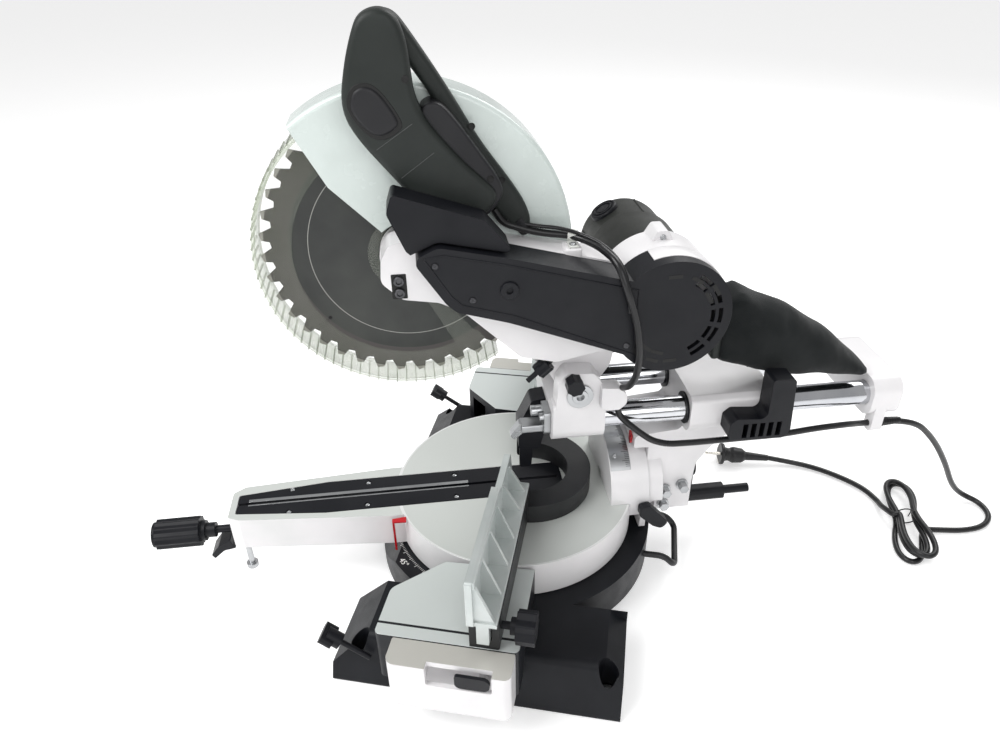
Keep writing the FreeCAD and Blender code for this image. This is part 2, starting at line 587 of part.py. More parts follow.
upper = Piece("upper_guard", on_table(0, ARBOR[0], ARBOR[1]))
RIM = dim("guard_radius")
shell = [(-24, 37), (-24, RIM), (25.8, RIM), (25.8, 37), (22.5, 37), (22.5, RIM - 4), (-21, RIM - 4), (-21, 37)]
upper.revolve("xy", [rounded(shell, [0, 5, 5, 0, 0, 3, 3, 0])], "x")
lower_cut = [(-24, 26), (-72, 76), (-106, 142), (-260, 300), (-260, -260), (160, -260), (121, -134), (40, -44), (0, -30), (-30, -10)]
upper.pocket("yz", [rounded(lower_cut)], -40, 40)

low_guard = Piece("lower_guard", on_table(0, ARBOR[0], ARBOR[1]))
LOW = dim("low_guard_radius")
low_shell = [(-19.6, 118), (-19.6, LOW), (19.6, LOW), (19.6, 118), (17, 118), (17, LOW - 2.6), (-17, LOW - 2.6), (-17, 118)]
low_guard.revolve("xy", [rounded(low_shell, [0, 4, 4, 0, 0, 2, 2, 0])], "x")
guard_cut = [(0, 0), (-151, 210), (-151, 300), (300, 300), (300, -200), (173, -244)]
low_guard.pocket("yz", [rounded(guard_cut)], -30, 30)
for low, high in ((17, 19.6), (-19.6, -17)):
    low_guard.pad("yz", [ring(0, 0, 42), ring(0, 0, 31)], low, high)
    low_guard.pad("yz", [rounded([(18, -34), (70, -104), (46, -116), (6, -38)], [0, 0, 0, 0])], low, high)

cover = Piece("belt_cover", on_table())
outline = [(-107, 468), (-82, 480), (-20, 466), (120, 428.3), (120, 342.1), (-16, 396), (-68, 412), (-78, 422)]
cover.pad("yz", [rounded(outline, [8, 14, 10, 0, 0, 20, 8, 6])], 61.2, 100)
cover.pad("yz", [ring(MOTOR[0], MOTOR[1], 62)], 61.2, 100)
cavity = [(-102.2, 466.2), (-81.8, 476.8), (-20, 463.2), (120, 425.4), (120, 345.1), (-15, 398.8), (-66.8, 414.8), (-75.8, 423.6)]
cover.pocket("yz", [rounded(cavity, [5, 11, 8, 0, 0, 16, 6, 4])], 60, 96)
cover.pocket("yz", [ring(MOTOR[0], MOTOR[1], 58)], 60, 96)
for vent in range(5):
    start = -62 + vent * 26
    for inner in (40, 48):
        cover.pocket("yz", [sector(MOTOR[0], MOTOR[1], inner, inner + 4.5, start, start + 19)], 95, 101)

mount = Piece("handle_bracket", on_table())
mount_side = [(-121, 530), (-127, 512), (-112, 475), (-108, 471), (-82, 482.3), (-18, 468.2), (-12, 470), (-36, 500)]
mount.pad("yz", [rounded(mount_side, [4, 8, 4, 0, 12, 0, 3, 6])], 61.2, 92)

GRIP = [(-120, 676), (-101, 668), (-60, 604), (-12, 497), (-34, 484), (-69, 466.8), (-108, 524), (-136, 553), (-155, 582),
        (-160, 600), (-152, 632), (-142, 660)]
GRIP_R = [14, 16, 30, 8, 5, 3, 8, 20, 16, 24, 30, 14]
LOOP = [(-108, 640), (-94, 640), (-70, 600), (-52, 552), (-66, 540), (-96, 572), (-109, 612)]
LOOP_R = [6, 7, 20, 8, 8, 12, 14]
TRIGGER_TURN = Rotation(Vector(1, 0, 0), 12)
for label, low, high in (("handle_outer", 40.1, 62 - 1.1), ("handle_inner", 19, 40)):
    half = Piece(label, on_table())
    half.pad("yz", [rounded(GRIP, GRIP_R)], low, high)
    half.pocket("yz", [rounded(LOOP, LOOP_R)], 0, 80)
    half.pocket("yz", [ring(ARBOR[0], ARBOR[1], dim("guard_radius") + 0.4)], 0, 26.1)
    half.pocket("yz", [rounded([(-124, 588), (-124, 632), (-98, 632), (-98, 588)])], 32.6, 47.4)
    half.pocket("yz", [rounded([(-166, 578), (-128, 545), (-114, 558), (-127, 604), (-144, 621), (-166, 612)])], 29.6, 50.4)

trigger = Piece("trigger", on_table())
trigger.pad("yz", [rounded([(-116, 592), (-116, 628), (-104, 628), (-101, 612), (-95, 592)], [2, 2, 3, 10, 4])], 33, 47)

button = Piece("lock_button", on_table())
button.pad("yz", [rounded([(-154, 596), (-147, 612), (-134, 600), (-122, 562), (-130, 556), (-146, 572)], [5, 4, 4, 4, 4, 8])], 30, 50)

belt = Piece("drive_belt", on_table())


def belt_outline(first, radius, second, other):
    """Outline of a belt: two arcs and their outer tangent lines."""
    along = Vector(second[0] - first[0], second[1] - first[1], 0)
    heading = math.degrees(math.atan2(along.y, along.x))
    lean = math.degrees(math.acos((radius - other) / along.Length))

    def at(centre, reach, degrees):
        angle = math.radians(degrees)
        return Vector(centre[0] + reach * math.cos(angle), centre[1] + reach * math.sin(angle), 0)
    up, down = heading + lean, heading - lean
    return [
        Part.Arc(at(first, radius, up), at(first, radius, heading + 180), at(first, radius, down)),
        Part.LineSegment(at(first, radius, down), at(second, other, down)),
        Part.Arc(at(second, other, down), at(second, other, heading), at(second, other, up)),
        Part.LineSegment(at(second, other, up), at(first, radius, up)),
    ]


belt.pad("yz", [belt_outline(JACK, 15.9, MOTOR, 11.9), belt_outline(JACK, 13.3, MOTOR, 9.3)], 68, 84)

motor = Piece("motor_housing", on_table(0, MOTOR[0], MOTOR[1]))
motor.revolve("xy", [rounded([(-130, 0), (-130, 46), (-112, 54), (18, 54), (18, 49.8), (-124, 44), (-124, 0)], [0, 8, 10, 0, 0, 4, 0])], "x")
motor.pad("xz", [ring(-96, 54, 15)], -30, 30)

port = Piece("dust_port", on_table())
port_side = [(52, 356), (46, 338), (90, 302), (222, 300), (222, 332), (104, 331)]
port.pad("yz", [rounded(port_side, [0, 0, 20, 4, 4, 30])], -17, 17)
port.pocket("yz", [rounded([(44, 354), (50, 342), (94, 305), (230, 303), (230, 329), (100, 328)], [0, 0, 18, 0, 0, 28])], -14, 14)

bag = Piece("dust_bag", on_table())
bag_side = [(222.5, 296), (222.5, 372), (248, 386), (330, 344), (372, 314), (420, 276), (418, 263), (330, 264), (276, 276)]
bag.pad("yz", [rounded(bag_side, [6, 12, 16, 20, 20, 6, 5, 20, 20])], -6, 58)

knob = Piece("depth_knob", on_table(48, 24, 306, Rotation(Vector(0, 0, 1), Vector(0, 0.72, 0.69))))
knob.pad("xy", [ring(0, 0, 3)], -20, 36)
knob.pad("xy", [knurled(10, 8, 1.4)], -4, 12)

# ---- Turning pieces: blade, arbor, gear shaft, motor armature --------------------------------------

TEETH = 40
blade = Piece("blade", on_table(0, ARBOR[0], ARBOR[1]))
rim_points = []
for tooth in range(TEETH):
    step = 2 * math.pi / TEETH
    for turn, reach in ((0.0, 1.0), (0.30, 0.985), (0.36, 0.93), (0.66, 0.92), (0.80, 0.95)):
        angle = (tooth + turn) * step
        rim_points.append((dim("blade_radius") * reach * math.cos(angle), dim("blade_radius") * reach * math.sin(angle)))
blade.pad("yz", [rounded(rim_points), ring(0, 0, 15.02)], "-dims.blade_kerf / 2", "dims.blade_kerf / 2")

arbor = Piece("arbor", on_table(0, ARBOR[0], ARBOR[1]))
turned = [(-15, 0), (-15, 9), (-7, 9), (-7, 23), (-1.35, 23), (-1.35, 15), (1.35, 15), (1.35, 23), (6.5, 23), (6.5, 12.5),
          (40, 12.5), (40, 23.6), (50, 23.6), (50, 12.5), (56, 12.5), (56, 0)]
arbor.revolve("xy", [rounded(turned)], "x")

jack = Piece("gear_shaft", on_table(0, JACK[0], JACK[1]))
turned = [(39, 0), (39, 8), (40, 8), (40, 16.4), (50, 16.4), (50, 8), (66, 8), (66, 16.2), (67.5, 16.2), (67.5, 13), (84.5, 13),
          (84.5, 16.2), (86, 16.2), (86, 8), (92, 8), (92, 0)]
jack.revolve("xy", [rounded(turned)], "x")

armature = Piece("motor_armature", on_table(0, MOTOR[0], MOTOR[1]))
turned = [(-118, 0), (-118, 6), (-84, 6), (-84, 32), (-6, 32), (-6, 8), (67.5, 8), (67.5, 9), (84.5, 9), (84.5, 12.2), (86, 12.2),
          (86, 8), (92, 8), (92, 0)]
armature.revolve("xy", [rounded(turned)], "x")


# ---- Cords and plug --------------------------------------------------------------------------------

HEAD_CABLE = [(36, -23, 490.5), (36, -14, 475.3), (37, 20, 463.5), (40, 58, 459), (66, 78, 457), (97, 90, 452), (109, 98, 428),
              (108, 111, 390), (108, 117, 352), (102, 117, 322), (90, 114, 302), (76, 111, 292)]
FRAME_CABLE = [(66, 110, 258.5), (66.5, 112, 249), (69.5, 121, 239), (71.5, 135, 226), (73, 152, 212), (73, 172, 204.5), (72.5, 205, 203),
               (72, 260, 203), (72, 310, 203), (71, 355, 207), (67, 395, 205.5), (54, 424, 195), (54, 446.2, 195)]
bent_tube("head_cable", HEAD_CABLE, "cord_radius", on_table())
bent_tube("frame_cable", FRAME_CABLE, "cord_radius", on_table())

# The free cord leaves the rear cap, falls to the bench, is tied in a loose bundle and ends in its plug.
CORD_RUN = [(-79.82, 442.31, 195), (-92.99, 485.03, 195), (-118, 528, 150), (-146, 566, 92), (-170, 594, 40), (-188, 620, 9),
            (-178, 645, 4.2), (-151, 650, 4), (-127, 634, 4), (-114, 604, 4), (-110, 570, 4)]
CORD_LEAD = [(-158, 503, 4), (-184, 489, 4), (-206, 459, 4), (-223, 424, 4), (-229, 386, 5.5), (-226.5, 357, 10.5)]
bent_tube("cord_run", CORD_RUN, "cord_radius", on_base())
bent_tube("cord_lead", CORD_LEAD, "cord_radius", on_base())

bundle = Piece("cord_bundle", on_base())
hull = [(-218, 548), (-206, 530), (-160.8, 508.3), (-155.2, 497.7), (-150, 480), (-120, 470), (-92, 488), (-42, 492), (-26, 510),
        (-40, 568), (-72, 584), (-104, 570.7), (-116, 569.3), (-140, 560), (-200, 566)]
bundle.pad("xy", [rounded(hull, [7, 8, 0, 0, 8, 14, 12, 12, 10, 14, 14, 0, 0, 10, 10])], 0.3, 24)

plug_axis = Vector(9, -69, 6.5)
plug = Piece("power_plug", on_base(-217, 283, 17.2, Rotation(Vector(0, 0, 1), plug_axis)))
plug_side = [(0, 0), (16.5, 0), (16.5, 5), (11, 7), (9.5, 14), (12.5, 20), (11, 34), (6.6, 40), (5, 66), (4.6, 74), (0, 74)]
plug.revolve("xz", [rounded([(x, -z) for x, z in plug_side], [0, 2, 2, 3, 6, 6, 6, 4, 6, 0, 0])], "z")
for side in (1, -1):
    plug.pad("xy", [ring(side * 6.7, side * 6.7, 2.4)], -1, 19)


# ---- Check every object, then write one file per sub-part --------------------------------------

doc.recompute()
for item in doc.Objects:
    if "Invalid" in item.State or "Error" in item.State:
        raise RuntimeError("%s did not compute: %s" % (item.Label, item.State))
os.makedirs("parts", exist_ok=True)
for piece in pieces:
    shape = piece.Shape
    if shape.isNull() or not shape.isValid():
        raise RuntimeError("%s has no valid shape" % piece.Label)
    print("%-24s solids %d volume %9.0f" % (piece.Label, len(shape.Solids), shape.Volume))
    shape.exportStep("parts/%s.step" % piece.Label)
print("pieces", len(pieces))
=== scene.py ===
"""Sliding compound mitre saw: finishes, soft goods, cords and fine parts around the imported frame."""
import logging
import math
from dataclasses import dataclass, field
from enum import Enum
from typing import Callable, Optional, Sequence

import bmesh
import bpy
from mathutils import Matrix, Vector


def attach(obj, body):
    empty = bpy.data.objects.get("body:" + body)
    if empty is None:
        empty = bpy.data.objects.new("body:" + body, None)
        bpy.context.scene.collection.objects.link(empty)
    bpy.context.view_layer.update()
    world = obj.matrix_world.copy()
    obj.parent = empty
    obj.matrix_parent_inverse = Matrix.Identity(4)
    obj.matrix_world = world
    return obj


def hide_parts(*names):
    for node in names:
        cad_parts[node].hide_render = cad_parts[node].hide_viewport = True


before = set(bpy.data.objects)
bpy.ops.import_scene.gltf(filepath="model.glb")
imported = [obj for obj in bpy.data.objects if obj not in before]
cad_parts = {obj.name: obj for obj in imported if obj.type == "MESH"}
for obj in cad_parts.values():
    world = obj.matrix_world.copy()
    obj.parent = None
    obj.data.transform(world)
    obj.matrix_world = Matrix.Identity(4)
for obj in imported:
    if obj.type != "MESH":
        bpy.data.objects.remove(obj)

LOG = logging.getLogger("mitre_saw")
MM = 0.001
MITRE_ANGLE = math.radians(17.13)
ARBOR_AXIS = (-110.1, 441.7)
MOTOR_AXIS = (150.0, 388.0)
Point = tuple[float, float, float]
Colour = tuple[float, float, float]


class Side(Enum):
    """Which set of axes a piece is drawn on."""

    BASE = "base"
    TABLE = "table"


class Grain(Enum):
    """Surface texture of a finish."""

    CAST = "cast"
    MOULDED = "moulded"
    BRUSHED_X = "brushed along x"
    BRUSHED_Y = "brushed along y"
    TURNED = "turned about the pivot"
    GROUND = "ground about the arbor"
    SMOOTH = "smooth"
    SOFT = "soft touch"
    WOVEN = "woven"


class Drive(Enum):
    """Drive in a screw's head."""

    CROSS = "cross"
    HEX_SOCKET = "hexagon socket"
    HEX_HEAD = "hexagon head"


def axes(side: Side) -> Matrix:
    """Millimetres on the given axes to metres in the row frame.

    Args:
        side: the axes that the piece is drawn on.

    Returns:
        The matrix that places and scales it.
    """
    turn = MITRE_ANGLE if side is Side.TABLE else 0.0
    return Matrix.Rotation(turn, 4, "Z") @ Matrix.Scale(MM, 4)


# ---- Finishes ---------------------------------------------------------------------------------


class Nodes:
    """Small helper around one material's node tree."""

    def __init__(self, name: str) -> None:
        """Start an empty node material.

        Args:
            name: the material's name.
        """
        self.material = bpy.data.materials.new(name)
        self.material.use_nodes = True
        self.tree = self.material.node_tree
        self.tree.nodes.clear()
        self.output = self.add("ShaderNodeOutputMaterial")
        self.shader = self.add("ShaderNodeBsdfPrincipled")
        self.link(self.shader.outputs[0], self.output.inputs[0])
        self.coords = self.add("ShaderNodeTexCoord").outputs["Object"]
        self._split: Optional[bpy.types.Node] = None

    def add(self, kind: str, **values: object) -> bpy.types.Node:
        """Add a node and set its properties.

        Args:
            kind: the node type.
            **values: its properties.

        Returns:
            The node.
        """
        node = self.tree.nodes.new(kind)
        for key, value in values.items():
            setattr(node, key, value)
        return node

    def link(self, start: bpy.types.NodeSocket, end: bpy.types.NodeSocket) -> None:
        """Join two sockets.

        Args:
            start: the output.
            end: the input.
        """
        self.tree.links.new(start, end)

    def feed(self, socket: bpy.types.NodeSocket, value: object) -> None:
        """Link a socket, or set a plain value on it.

        Args:
            socket: the input.
            value: a socket or a plain value.
        """
        if isinstance(value, bpy.types.NodeSocket):
            self.link(value, socket)
        else:
            socket.default_value = value

    def maths(self, operation: str, first: object, second: object = 0.0,
              third: object = 0.0) -> bpy.types.NodeSocket:
        """One Math node.

        Args:
            operation: its operation.
            first: first input, a socket or a number.
            second: second input.
            third: third input, where the operation has one.

        Returns:
            Its output.
        """
        node = self.add("ShaderNodeMath", operation=operation)
        for socket, value in zip(node.inputs, (first, second, third)):
            self.feed(socket, value)
        return node.outputs[0]

    def axis(self, letter: str) -> bpy.types.NodeSocket:
        """Object coordinate along one axis, in metres.

        Args:
            letter: X, Y or Z.

        Returns:
            The coordinate.
        """
        if self._split is None:
            self._split = self.add("ShaderNodeSeparateXYZ")
            self.link(self.coords, self._split.inputs[0])
        return self._split.outputs[letter]

    def noise(self, scale: float, detail: float = 3.0, stretch: Point = (1.0, 1.0, 1.0),
              turn: float = 0.0) -> bpy.types.NodeSocket:
        """Noise on object coordinates, stretched and turned about Z.

        Args:
            scale: cells per metre.
            detail: octaves.
            stretch: scale along each axis.
            turn: angle about Z in radians.

        Returns:
            The noise value.
        """
        mapping = self.add("ShaderNodeMapping")
        mapping.inputs["Scale"].default_value = stretch
        mapping.inputs["Rotation"].default_value = (0.0, 0.0, turn)
        self.link(self.coords, mapping.inputs["Vector"])
        node = self.add("ShaderNodeTexNoise")
        node.inputs["Scale"].default_value = scale
        node.inputs["Detail"].default_value = detail
        self.link(mapping.outputs[0], node.inputs["Vector"])
        return node.outputs[0]

    def spread(self, value: object, low: float, high: float, start: float = 0.0,
               end: float = 1.0) -> bpy.types.NodeSocket:
        """Map start..end of a value to low..high, clamped.

        Args:
            value: the value.
            low: result at its start.
            high: result at its end.
            start: where it starts.
            end: where it ends.

        Returns:
            The mapped value.
        """
        node = self.add("ShaderNodeMapRange", clamp=True)
        for socket, number in zip(node.inputs, (value, start, end, low, high)):
            self.feed(socket, number)
        return node.outputs[0]

    def blend(self, factor: object, first: object, second: object) -> bpy.types.NodeSocket:
        """Mix two colours.

        Args:
            factor: share of the second.
            first: first colour.
            second: second colour.

        Returns:
            The mixed colour.
        """
        node = self.add("ShaderNodeMix", data_type="RGBA")
        for index, value in ((0, factor), (6, first), (7, second)):
            if isinstance(value, tuple):
                value = (*value, 1.0) if len(value) == 3 else value
            self.feed(node.inputs[index], value)
        return node.outputs[2]

    def lerp(self, factor: object, first: object, second: object) -> bpy.types.NodeSocket:
        """Mix two numbers.

        Args:
            factor: share of the second.
            first: first number.
            second: second number.

        Returns:
            The mixed number.
        """
        node = self.add("ShaderNodeMix", data_type="FLOAT")
        for index, value in ((0, factor), (2, first), (3, second)):
            self.feed(node.inputs[index], value)
        return node.outputs[0]

    def within(self, value: object, low: float, high: float) -> bpy.types.NodeSocket:
        """1 where a value lies between low and high, else 0.

        Args:
            value: the value.
            low: lower bound.
            high: upper bound.

        Returns:
            The mask.
        """
        above = self.maths("GREATER_THAN", value, low)
        below = self.maths("LESS_THAN", value, high)
        return self.maths("MULTIPLY", above, below)

    def facing_up(self) -> bpy.types.NodeSocket:
        """1 on faces that look straight up.

        Returns:
            The mask.
        """
        split = self.add("ShaderNodeSeparateXYZ")
        self.link(self.add("ShaderNodeNewGeometry").outputs["Normal"], split.inputs[0])
        return self.maths("GREATER_THAN", split.outputs["Z"], 0.9)

    def reach(self, centre: Point, drop: str) -> bpy.types.NodeSocket:
        """Distance from a line through centre, parallel to one axis of the table's set.

        Args:
            centre: point on the line, in millimetres.
            drop: "Z" for a line along Z, or "X" for one along the blade's axis.

        Returns:
            The distance in metres.
        """
        mapping = self.add("ShaderNodeMapping", vector_type="TEXTURE")
        mapping.inputs["Location"].default_value = axes(Side.TABLE) @ Vector(centre)
        mapping.inputs["Rotation"].default_value = (0.0, 0.0, MITRE_ANGLE)
        mapping.inputs["Scale"].default_value = (1.0, 1.0, 0.0001) if drop == "Z" else (1.0, 1.0, 1.0)
        self.link(self.coords, mapping.inputs["Vector"])
        split = self.add("ShaderNodeSeparateXYZ")
        self.link(mapping.outputs[0], split.inputs[0])
        first, second = (split.outputs["X"], split.outputs["Y"]) if drop == "Z" else (split.outputs["Y"],
                                                                                      split.outputs["Z"])
        squares = self.maths("MULTIPLY_ADD", first, first, self.maths("MULTIPLY", second, second))
        return self.maths("SQRT", squares)


Mask = Callable[[Nodes], bpy.types.NodeSocket]


@dataclass(frozen=True)
class Zone:
    """Part of a surface with its own colour and sheen."""

    mask: Mask
    colour: Colour
    roughness: float
    metallic: float = 0.0


@dataclass(frozen=True)
class Finish:
    """One finish: two close colours, a sheen that varies, and a fine texture."""

    name: str
    slot: str
    colour: Colour
    shade: Colour
    roughness: float
    metallic: float = 0.0
    grain: Grain = Grain.CAST
    relief: float = 0.25
    coat: float = 0.0
    alpha: float = 1.0
    edge: float = 0.0008
    shine: float = 0.5
    solid: Optional["Mask"] = None
    solid_alpha: float = 1.0
    glow: float = 0.0
    zones: tuple[Zone, ...] = field(default=())

    def texture(self, nodes: Nodes) -> bpy.types.NodeSocket:
        """Height of the fine texture.

        Args:
            nodes: the material being built.

        Returns:
            The height value.
        """
        grain = self.grain
        if grain is Grain.CAST:
            return nodes.noise(900.0, 2.0)
        if grain is Grain.MOULDED:
            return nodes.noise(2600.0, 1.0)
        if grain is Grain.SOFT:
            return nodes.noise(3600.0, 4.0)
        if grain is Grain.BRUSHED_X:
            return nodes.noise(500.0, 3.0, (0.04, 1.0, 1.0), 0.0)
        if grain is Grain.BRUSHED_Y:
            return nodes.noise(500.0, 3.0, (1.0, 0.04, 1.0), -MITRE_ANGLE)
        if grain in (Grain.TURNED, Grain.GROUND):
            centre, drop = ((0.0, 0.0, 0.0), "Z") if grain is Grain.TURNED else ((0.0, *ARBOR_AXIS), "X")
            ring = nodes.add("ShaderNodeTexNoise", noise_dimensions="1D")
            ring.inputs["Scale"].default_value = 1400.0
            nodes.link(nodes.reach(centre, drop), ring.inputs["W"])
            return ring.outputs[0]
        if grain is Grain.WOVEN:
            waves = []
            for turn in (0.6, 0.6 + math.pi / 2):
                mapping = nodes.add("ShaderNodeMapping")
                mapping.inputs["Rotation"].default_value = (0.4, turn, 0.3)
                nodes.link(nodes.coords, mapping.inputs["Vector"])
                wave = nodes.add("ShaderNodeTexWave")
                wave.inputs["Scale"].default_value = 300.0
                wave.inputs["Distortion"].default_value = 0.6
                nodes.link(mapping.outputs[0], wave.inputs["Vector"])
                waves.append(wave.outputs["Fac"])
            return nodes.maths("MULTIPLY", waves[0], waves[1])
        return nodes.noise(1500.0, 0.0)

    def make(self) -> bpy.types.Material:
        """Build the node material once and reuse it.

        Returns:
            The material.
        """
        title = self.name + "_finish"
        made = bpy.data.materials.get(title)
        if made is not None:
            return made
        nodes = Nodes(title)
        cloud = nodes.noise(14.0, 4.0)
        colour: object = nodes.blend(nodes.spread(cloud, 0.0, 1.0, 0.35, 0.65), self.colour, self.shade)
        height = self.texture(nodes)
        patch = nodes.noise(45.0, 3.0)
        roughness: object = nodes.spread(patch, self.roughness * 0.86, min(1.0, self.roughness * 1.16), 0.3,
                                         0.7)
        metallic: object = self.metallic
        for zone in self.zones:
            mask = zone.mask(nodes)
            colour = nodes.blend(mask, colour, zone.colour)
            roughness = nodes.lerp(mask, roughness, zone.roughness)
            if zone.metallic != self.metallic or not isinstance(metallic, float):
                metallic = nodes.lerp(mask, metallic, zone.metallic)
        shader = nodes.shader
        nodes.feed(shader.inputs["Base Color"], colour)
        nodes.feed(shader.inputs["Roughness"], roughness)
        nodes.feed(shader.inputs["Metallic"], metallic)
        shader.inputs["Coat Weight"].default_value = self.coat
        shader.inputs["Coat Roughness"].default_value = 0.12
        shader.inputs["Specular IOR Level"].default_value = self.shine
        if self.solid is None:
            shader.inputs["Alpha"].default_value = self.alpha
        else:
            nodes.feed(shader.inputs["Alpha"], nodes.lerp(self.solid(nodes), self.alpha, self.solid_alpha))
        if self.grain is Grain.WOVEN:
            shader.inputs["Sheen Weight"].default_value = 0.12
            shader.inputs["Sheen Roughness"].default_value = 0.5
        shader.inputs["Emission Color"].default_value = (1.0, 1.0, 1.0, 1.0)
        shader.inputs["Emission Strength"].default_value = self.glow
        bump = nodes.add("ShaderNodeBump")
        bump.inputs["Strength"].default_value = self.relief
        bump.inputs["Distance"].default_value = 0.0002
        nodes.link(height, bump.inputs["Height"])
        if self.edge > 0:
            soften = nodes.add("ShaderNodeBevel", samples=4)
            soften.inputs["Radius"].default_value = self.edge
            nodes.link(soften.outputs[0], bump.inputs["Normal"])
        nodes.link(bump.outputs[0], shader.inputs["Normal"])
        return nodes.material


SILVER: Colour = (0.66, 0.70, 0.685)
WHITE: Colour = (0.77, 0.755, 0.765)
NEAR_BLACK: Colour = (0.016, 0.017, 0.019)


def wing_plate(nodes: Nodes) -> bpy.types.NodeSocket:
    """Machined plates on the base's wings.

    Args:
        nodes: the material being built.

    Returns:
        The mask, 1 inside and 0 outside.
    """
    return nodes.maths("MULTIPLY", nodes.facing_up(), nodes.maths("GREATER_THAN", nodes.axis("Z"), 0.1085))


def wing_line(nodes: Nodes) -> bpy.types.NodeSocket:
    """Dark joint line near the outer edge of each wing plate.

    Args:
        nodes: the material being built.

    Returns:
        The mask, 1 inside and 0 outside.
    """
    across = nodes.maths("ABSOLUTE", nodes.axis("X"))
    return nodes.maths("MULTIPLY", wing_plate(nodes), nodes.within(across, 0.2465, 0.2495))


def table_top(nodes: Nodes) -> bpy.types.NodeSocket:
    """Machined top of the table and its arm.

    Args:
        nodes: the material being built.

    Returns:
        The mask, 1 inside and 0 outside.
    """
    return nodes.maths("MULTIPLY", nodes.facing_up(), nodes.maths("GREATER_THAN", nodes.axis("Z"), 0.1086))


def table_rim_highlight(nodes: Nodes) -> bpy.types.NodeSocket:
    """Painted highlight: a brighter, more metallic ring on the flat top where the table's bevelled edge
    catches the light.

    Args:
        nodes: the material being built.

    Returns:
        The mask, 1 inside and 0 outside.
    """
    ring = nodes.within(nodes.reach((0.0, 0.0, 0.0), "Z"), 0.1482, 0.152)
    return nodes.maths("MULTIPLY", table_top(nodes), ring)


def blade_rim(nodes: Nodes) -> bpy.types.NodeSocket:
    """Lighter ground band behind the teeth.

    Args:
        nodes: the material being built.

    Returns:
        The mask, 1 inside and 0 outside.
    """
    return nodes.within(nodes.reach((0.0, *ARBOR_AXIS), "X"), 0.122, 0.16)


def blade_line(nodes: Nodes) -> bpy.types.NodeSocket:
    """Thin etched circle on the blade.

    Args:
        nodes: the material being built.

    Returns:
        The mask, 1 inside and 0 outside.
    """
    return nodes.within(nodes.reach((0.0, *ARBOR_AXIS), "X"), 0.1032, 0.1039)


def guard_rim(nodes: Nodes) -> bpy.types.NodeSocket:
    """The clear guard's rim, where one looks through the most material.

    Args:
        nodes: the material being built.

    Returns:
        The mask, 1 inside and 0 outside.
    """
    return nodes.maths("GREATER_THAN", nodes.reach((0.0, *ARBOR_AXIS), "X"), 0.1535)


def plug_pins(nodes: Nodes) -> bpy.types.NodeSocket:
    """Metal pins in front of the plug's face.

    Args:
        nodes: the material being built.

    Returns:
        The mask, 1 inside and 0 outside.
    """
    along = nodes.maths("MULTIPLY_ADD", nodes.axis("X"), -0.1287,
                        nodes.maths("MULTIPLY", nodes.axis("Y"), 0.9873))
    return nodes.maths("LESS_THAN", along, 0.3063)


def tooth_tips(nodes: Nodes) -> bpy.types.NodeSocket:
    """Brazed carbide at the ends of the teeth.

    Args:
        nodes: the material being built.

    Returns:
        The mask, 1 inside and 0 outside.
    """
    return nodes.maths("GREATER_THAN", nodes.reach((0.0, *ARBOR_AXIS), "X"), 0.1478)


PAINT = Finish("white_paint", "white_paint", WHITE, (0.70, 0.69, 0.70), 0.34, coat=0.25)
PLASTIC = Finish("black_plastic", "black_plastic", (0.005, 0.0055, 0.008), (0.009, 0.0095, 0.012), 0.42,
                 grain=Grain.MOULDED,
                 relief=0.35, shine=0.22)
BASE = Finish("base_black", "black_plastic", (0.005, 0.0055, 0.0075), (0.010, 0.011, 0.014), 0.42,
              grain=Grain.MOULDED, relief=0.3,
              shine=0.22, zones=(Zone(wing_plate, SILVER, 0.34, 0.35), Zone(wing_line, NEAR_BLACK, 0.5)))
FENCE = Finish("fence_black", "black_paint", (0.010, 0.0105, 0.012), (0.016, 0.0165, 0.018), 0.42,
               grain=Grain.CAST, relief=0.3,
               shine=0.35)
FENCE_SILVER = Finish("fence_silver", "black_paint", (0.60, 0.63, 0.62), (0.50, 0.54, 0.53), 0.36, 0.35,
                      Grain.BRUSHED_X, 0.3)
# The silver top zone is the machined face; the brighter ring at its edge is a painted highlight.
TABLE = Finish("table_silver", "machined_silver", WHITE, (0.70, 0.70, 0.70), 0.38, grain=Grain.TURNED,
               relief=0.18,
               zones=(Zone(table_top, (0.60, 0.625, 0.60), 0.34, 0.3),
                      Zone(table_rim_highlight, (0.80, 0.81, 0.80), 0.3, 0.4)))
EXTENSION = Finish("extension_white", "white_paint", WHITE, (0.70, 0.69, 0.70), 0.36, coat=0.25,
                   zones=(Zone(wing_plate, (0.55, 0.54, 0.50), 0.4, 0.3),))
STEEL = Finish("zinc_steel", "zinc_steel", (0.50, 0.51, 0.52), (0.38, 0.39, 0.40), 0.3, 1.0, Grain.SMOOTH,
               0.12)
DARK_STEEL = Finish("dark_steel", "dark_steel", (0.09, 0.09, 0.095), (0.05, 0.05, 0.055), 0.34, 0.9,
                    Grain.SMOOTH, 0.15)
WIRE = Finish("black_wire", "zinc_steel", (0.010, 0.010, 0.012), (0.016, 0.016, 0.018), 0.3,
              grain=Grain.SMOOTH, relief=0.1,
              shine=0.4)
CHROME = Finish("chrome_tube", "chrome_tube", (0.62, 0.63, 0.65), (0.50, 0.51, 0.54), 0.1, 1.0,
                Grain.BRUSHED_Y, 0.02, edge=0.0)
RED = Finish("red_marker", "red_marker", (0.50, 0.006, 0.012), (0.40, 0.004, 0.010), 0.28,
             grain=Grain.SMOOTH, relief=0.08)
CLEAR = Finish("clear_guard", "clear_guard", (0.36, 0.42, 0.30), (0.58, 0.62, 0.52), 0.1,
               grain=Grain.SMOOTH, relief=0.7,
               coat=0.3, alpha=0.05, solid=guard_rim, solid_alpha=0.42)
CLEAR_RIB = Finish("clear_rib", "clear_guard", (0.20, 0.23, 0.15), (0.66, 0.70, 0.60), 0.12,
                   grain=Grain.SMOOTH, relief=0.8,
                   coat=0.3, alpha=0.6)
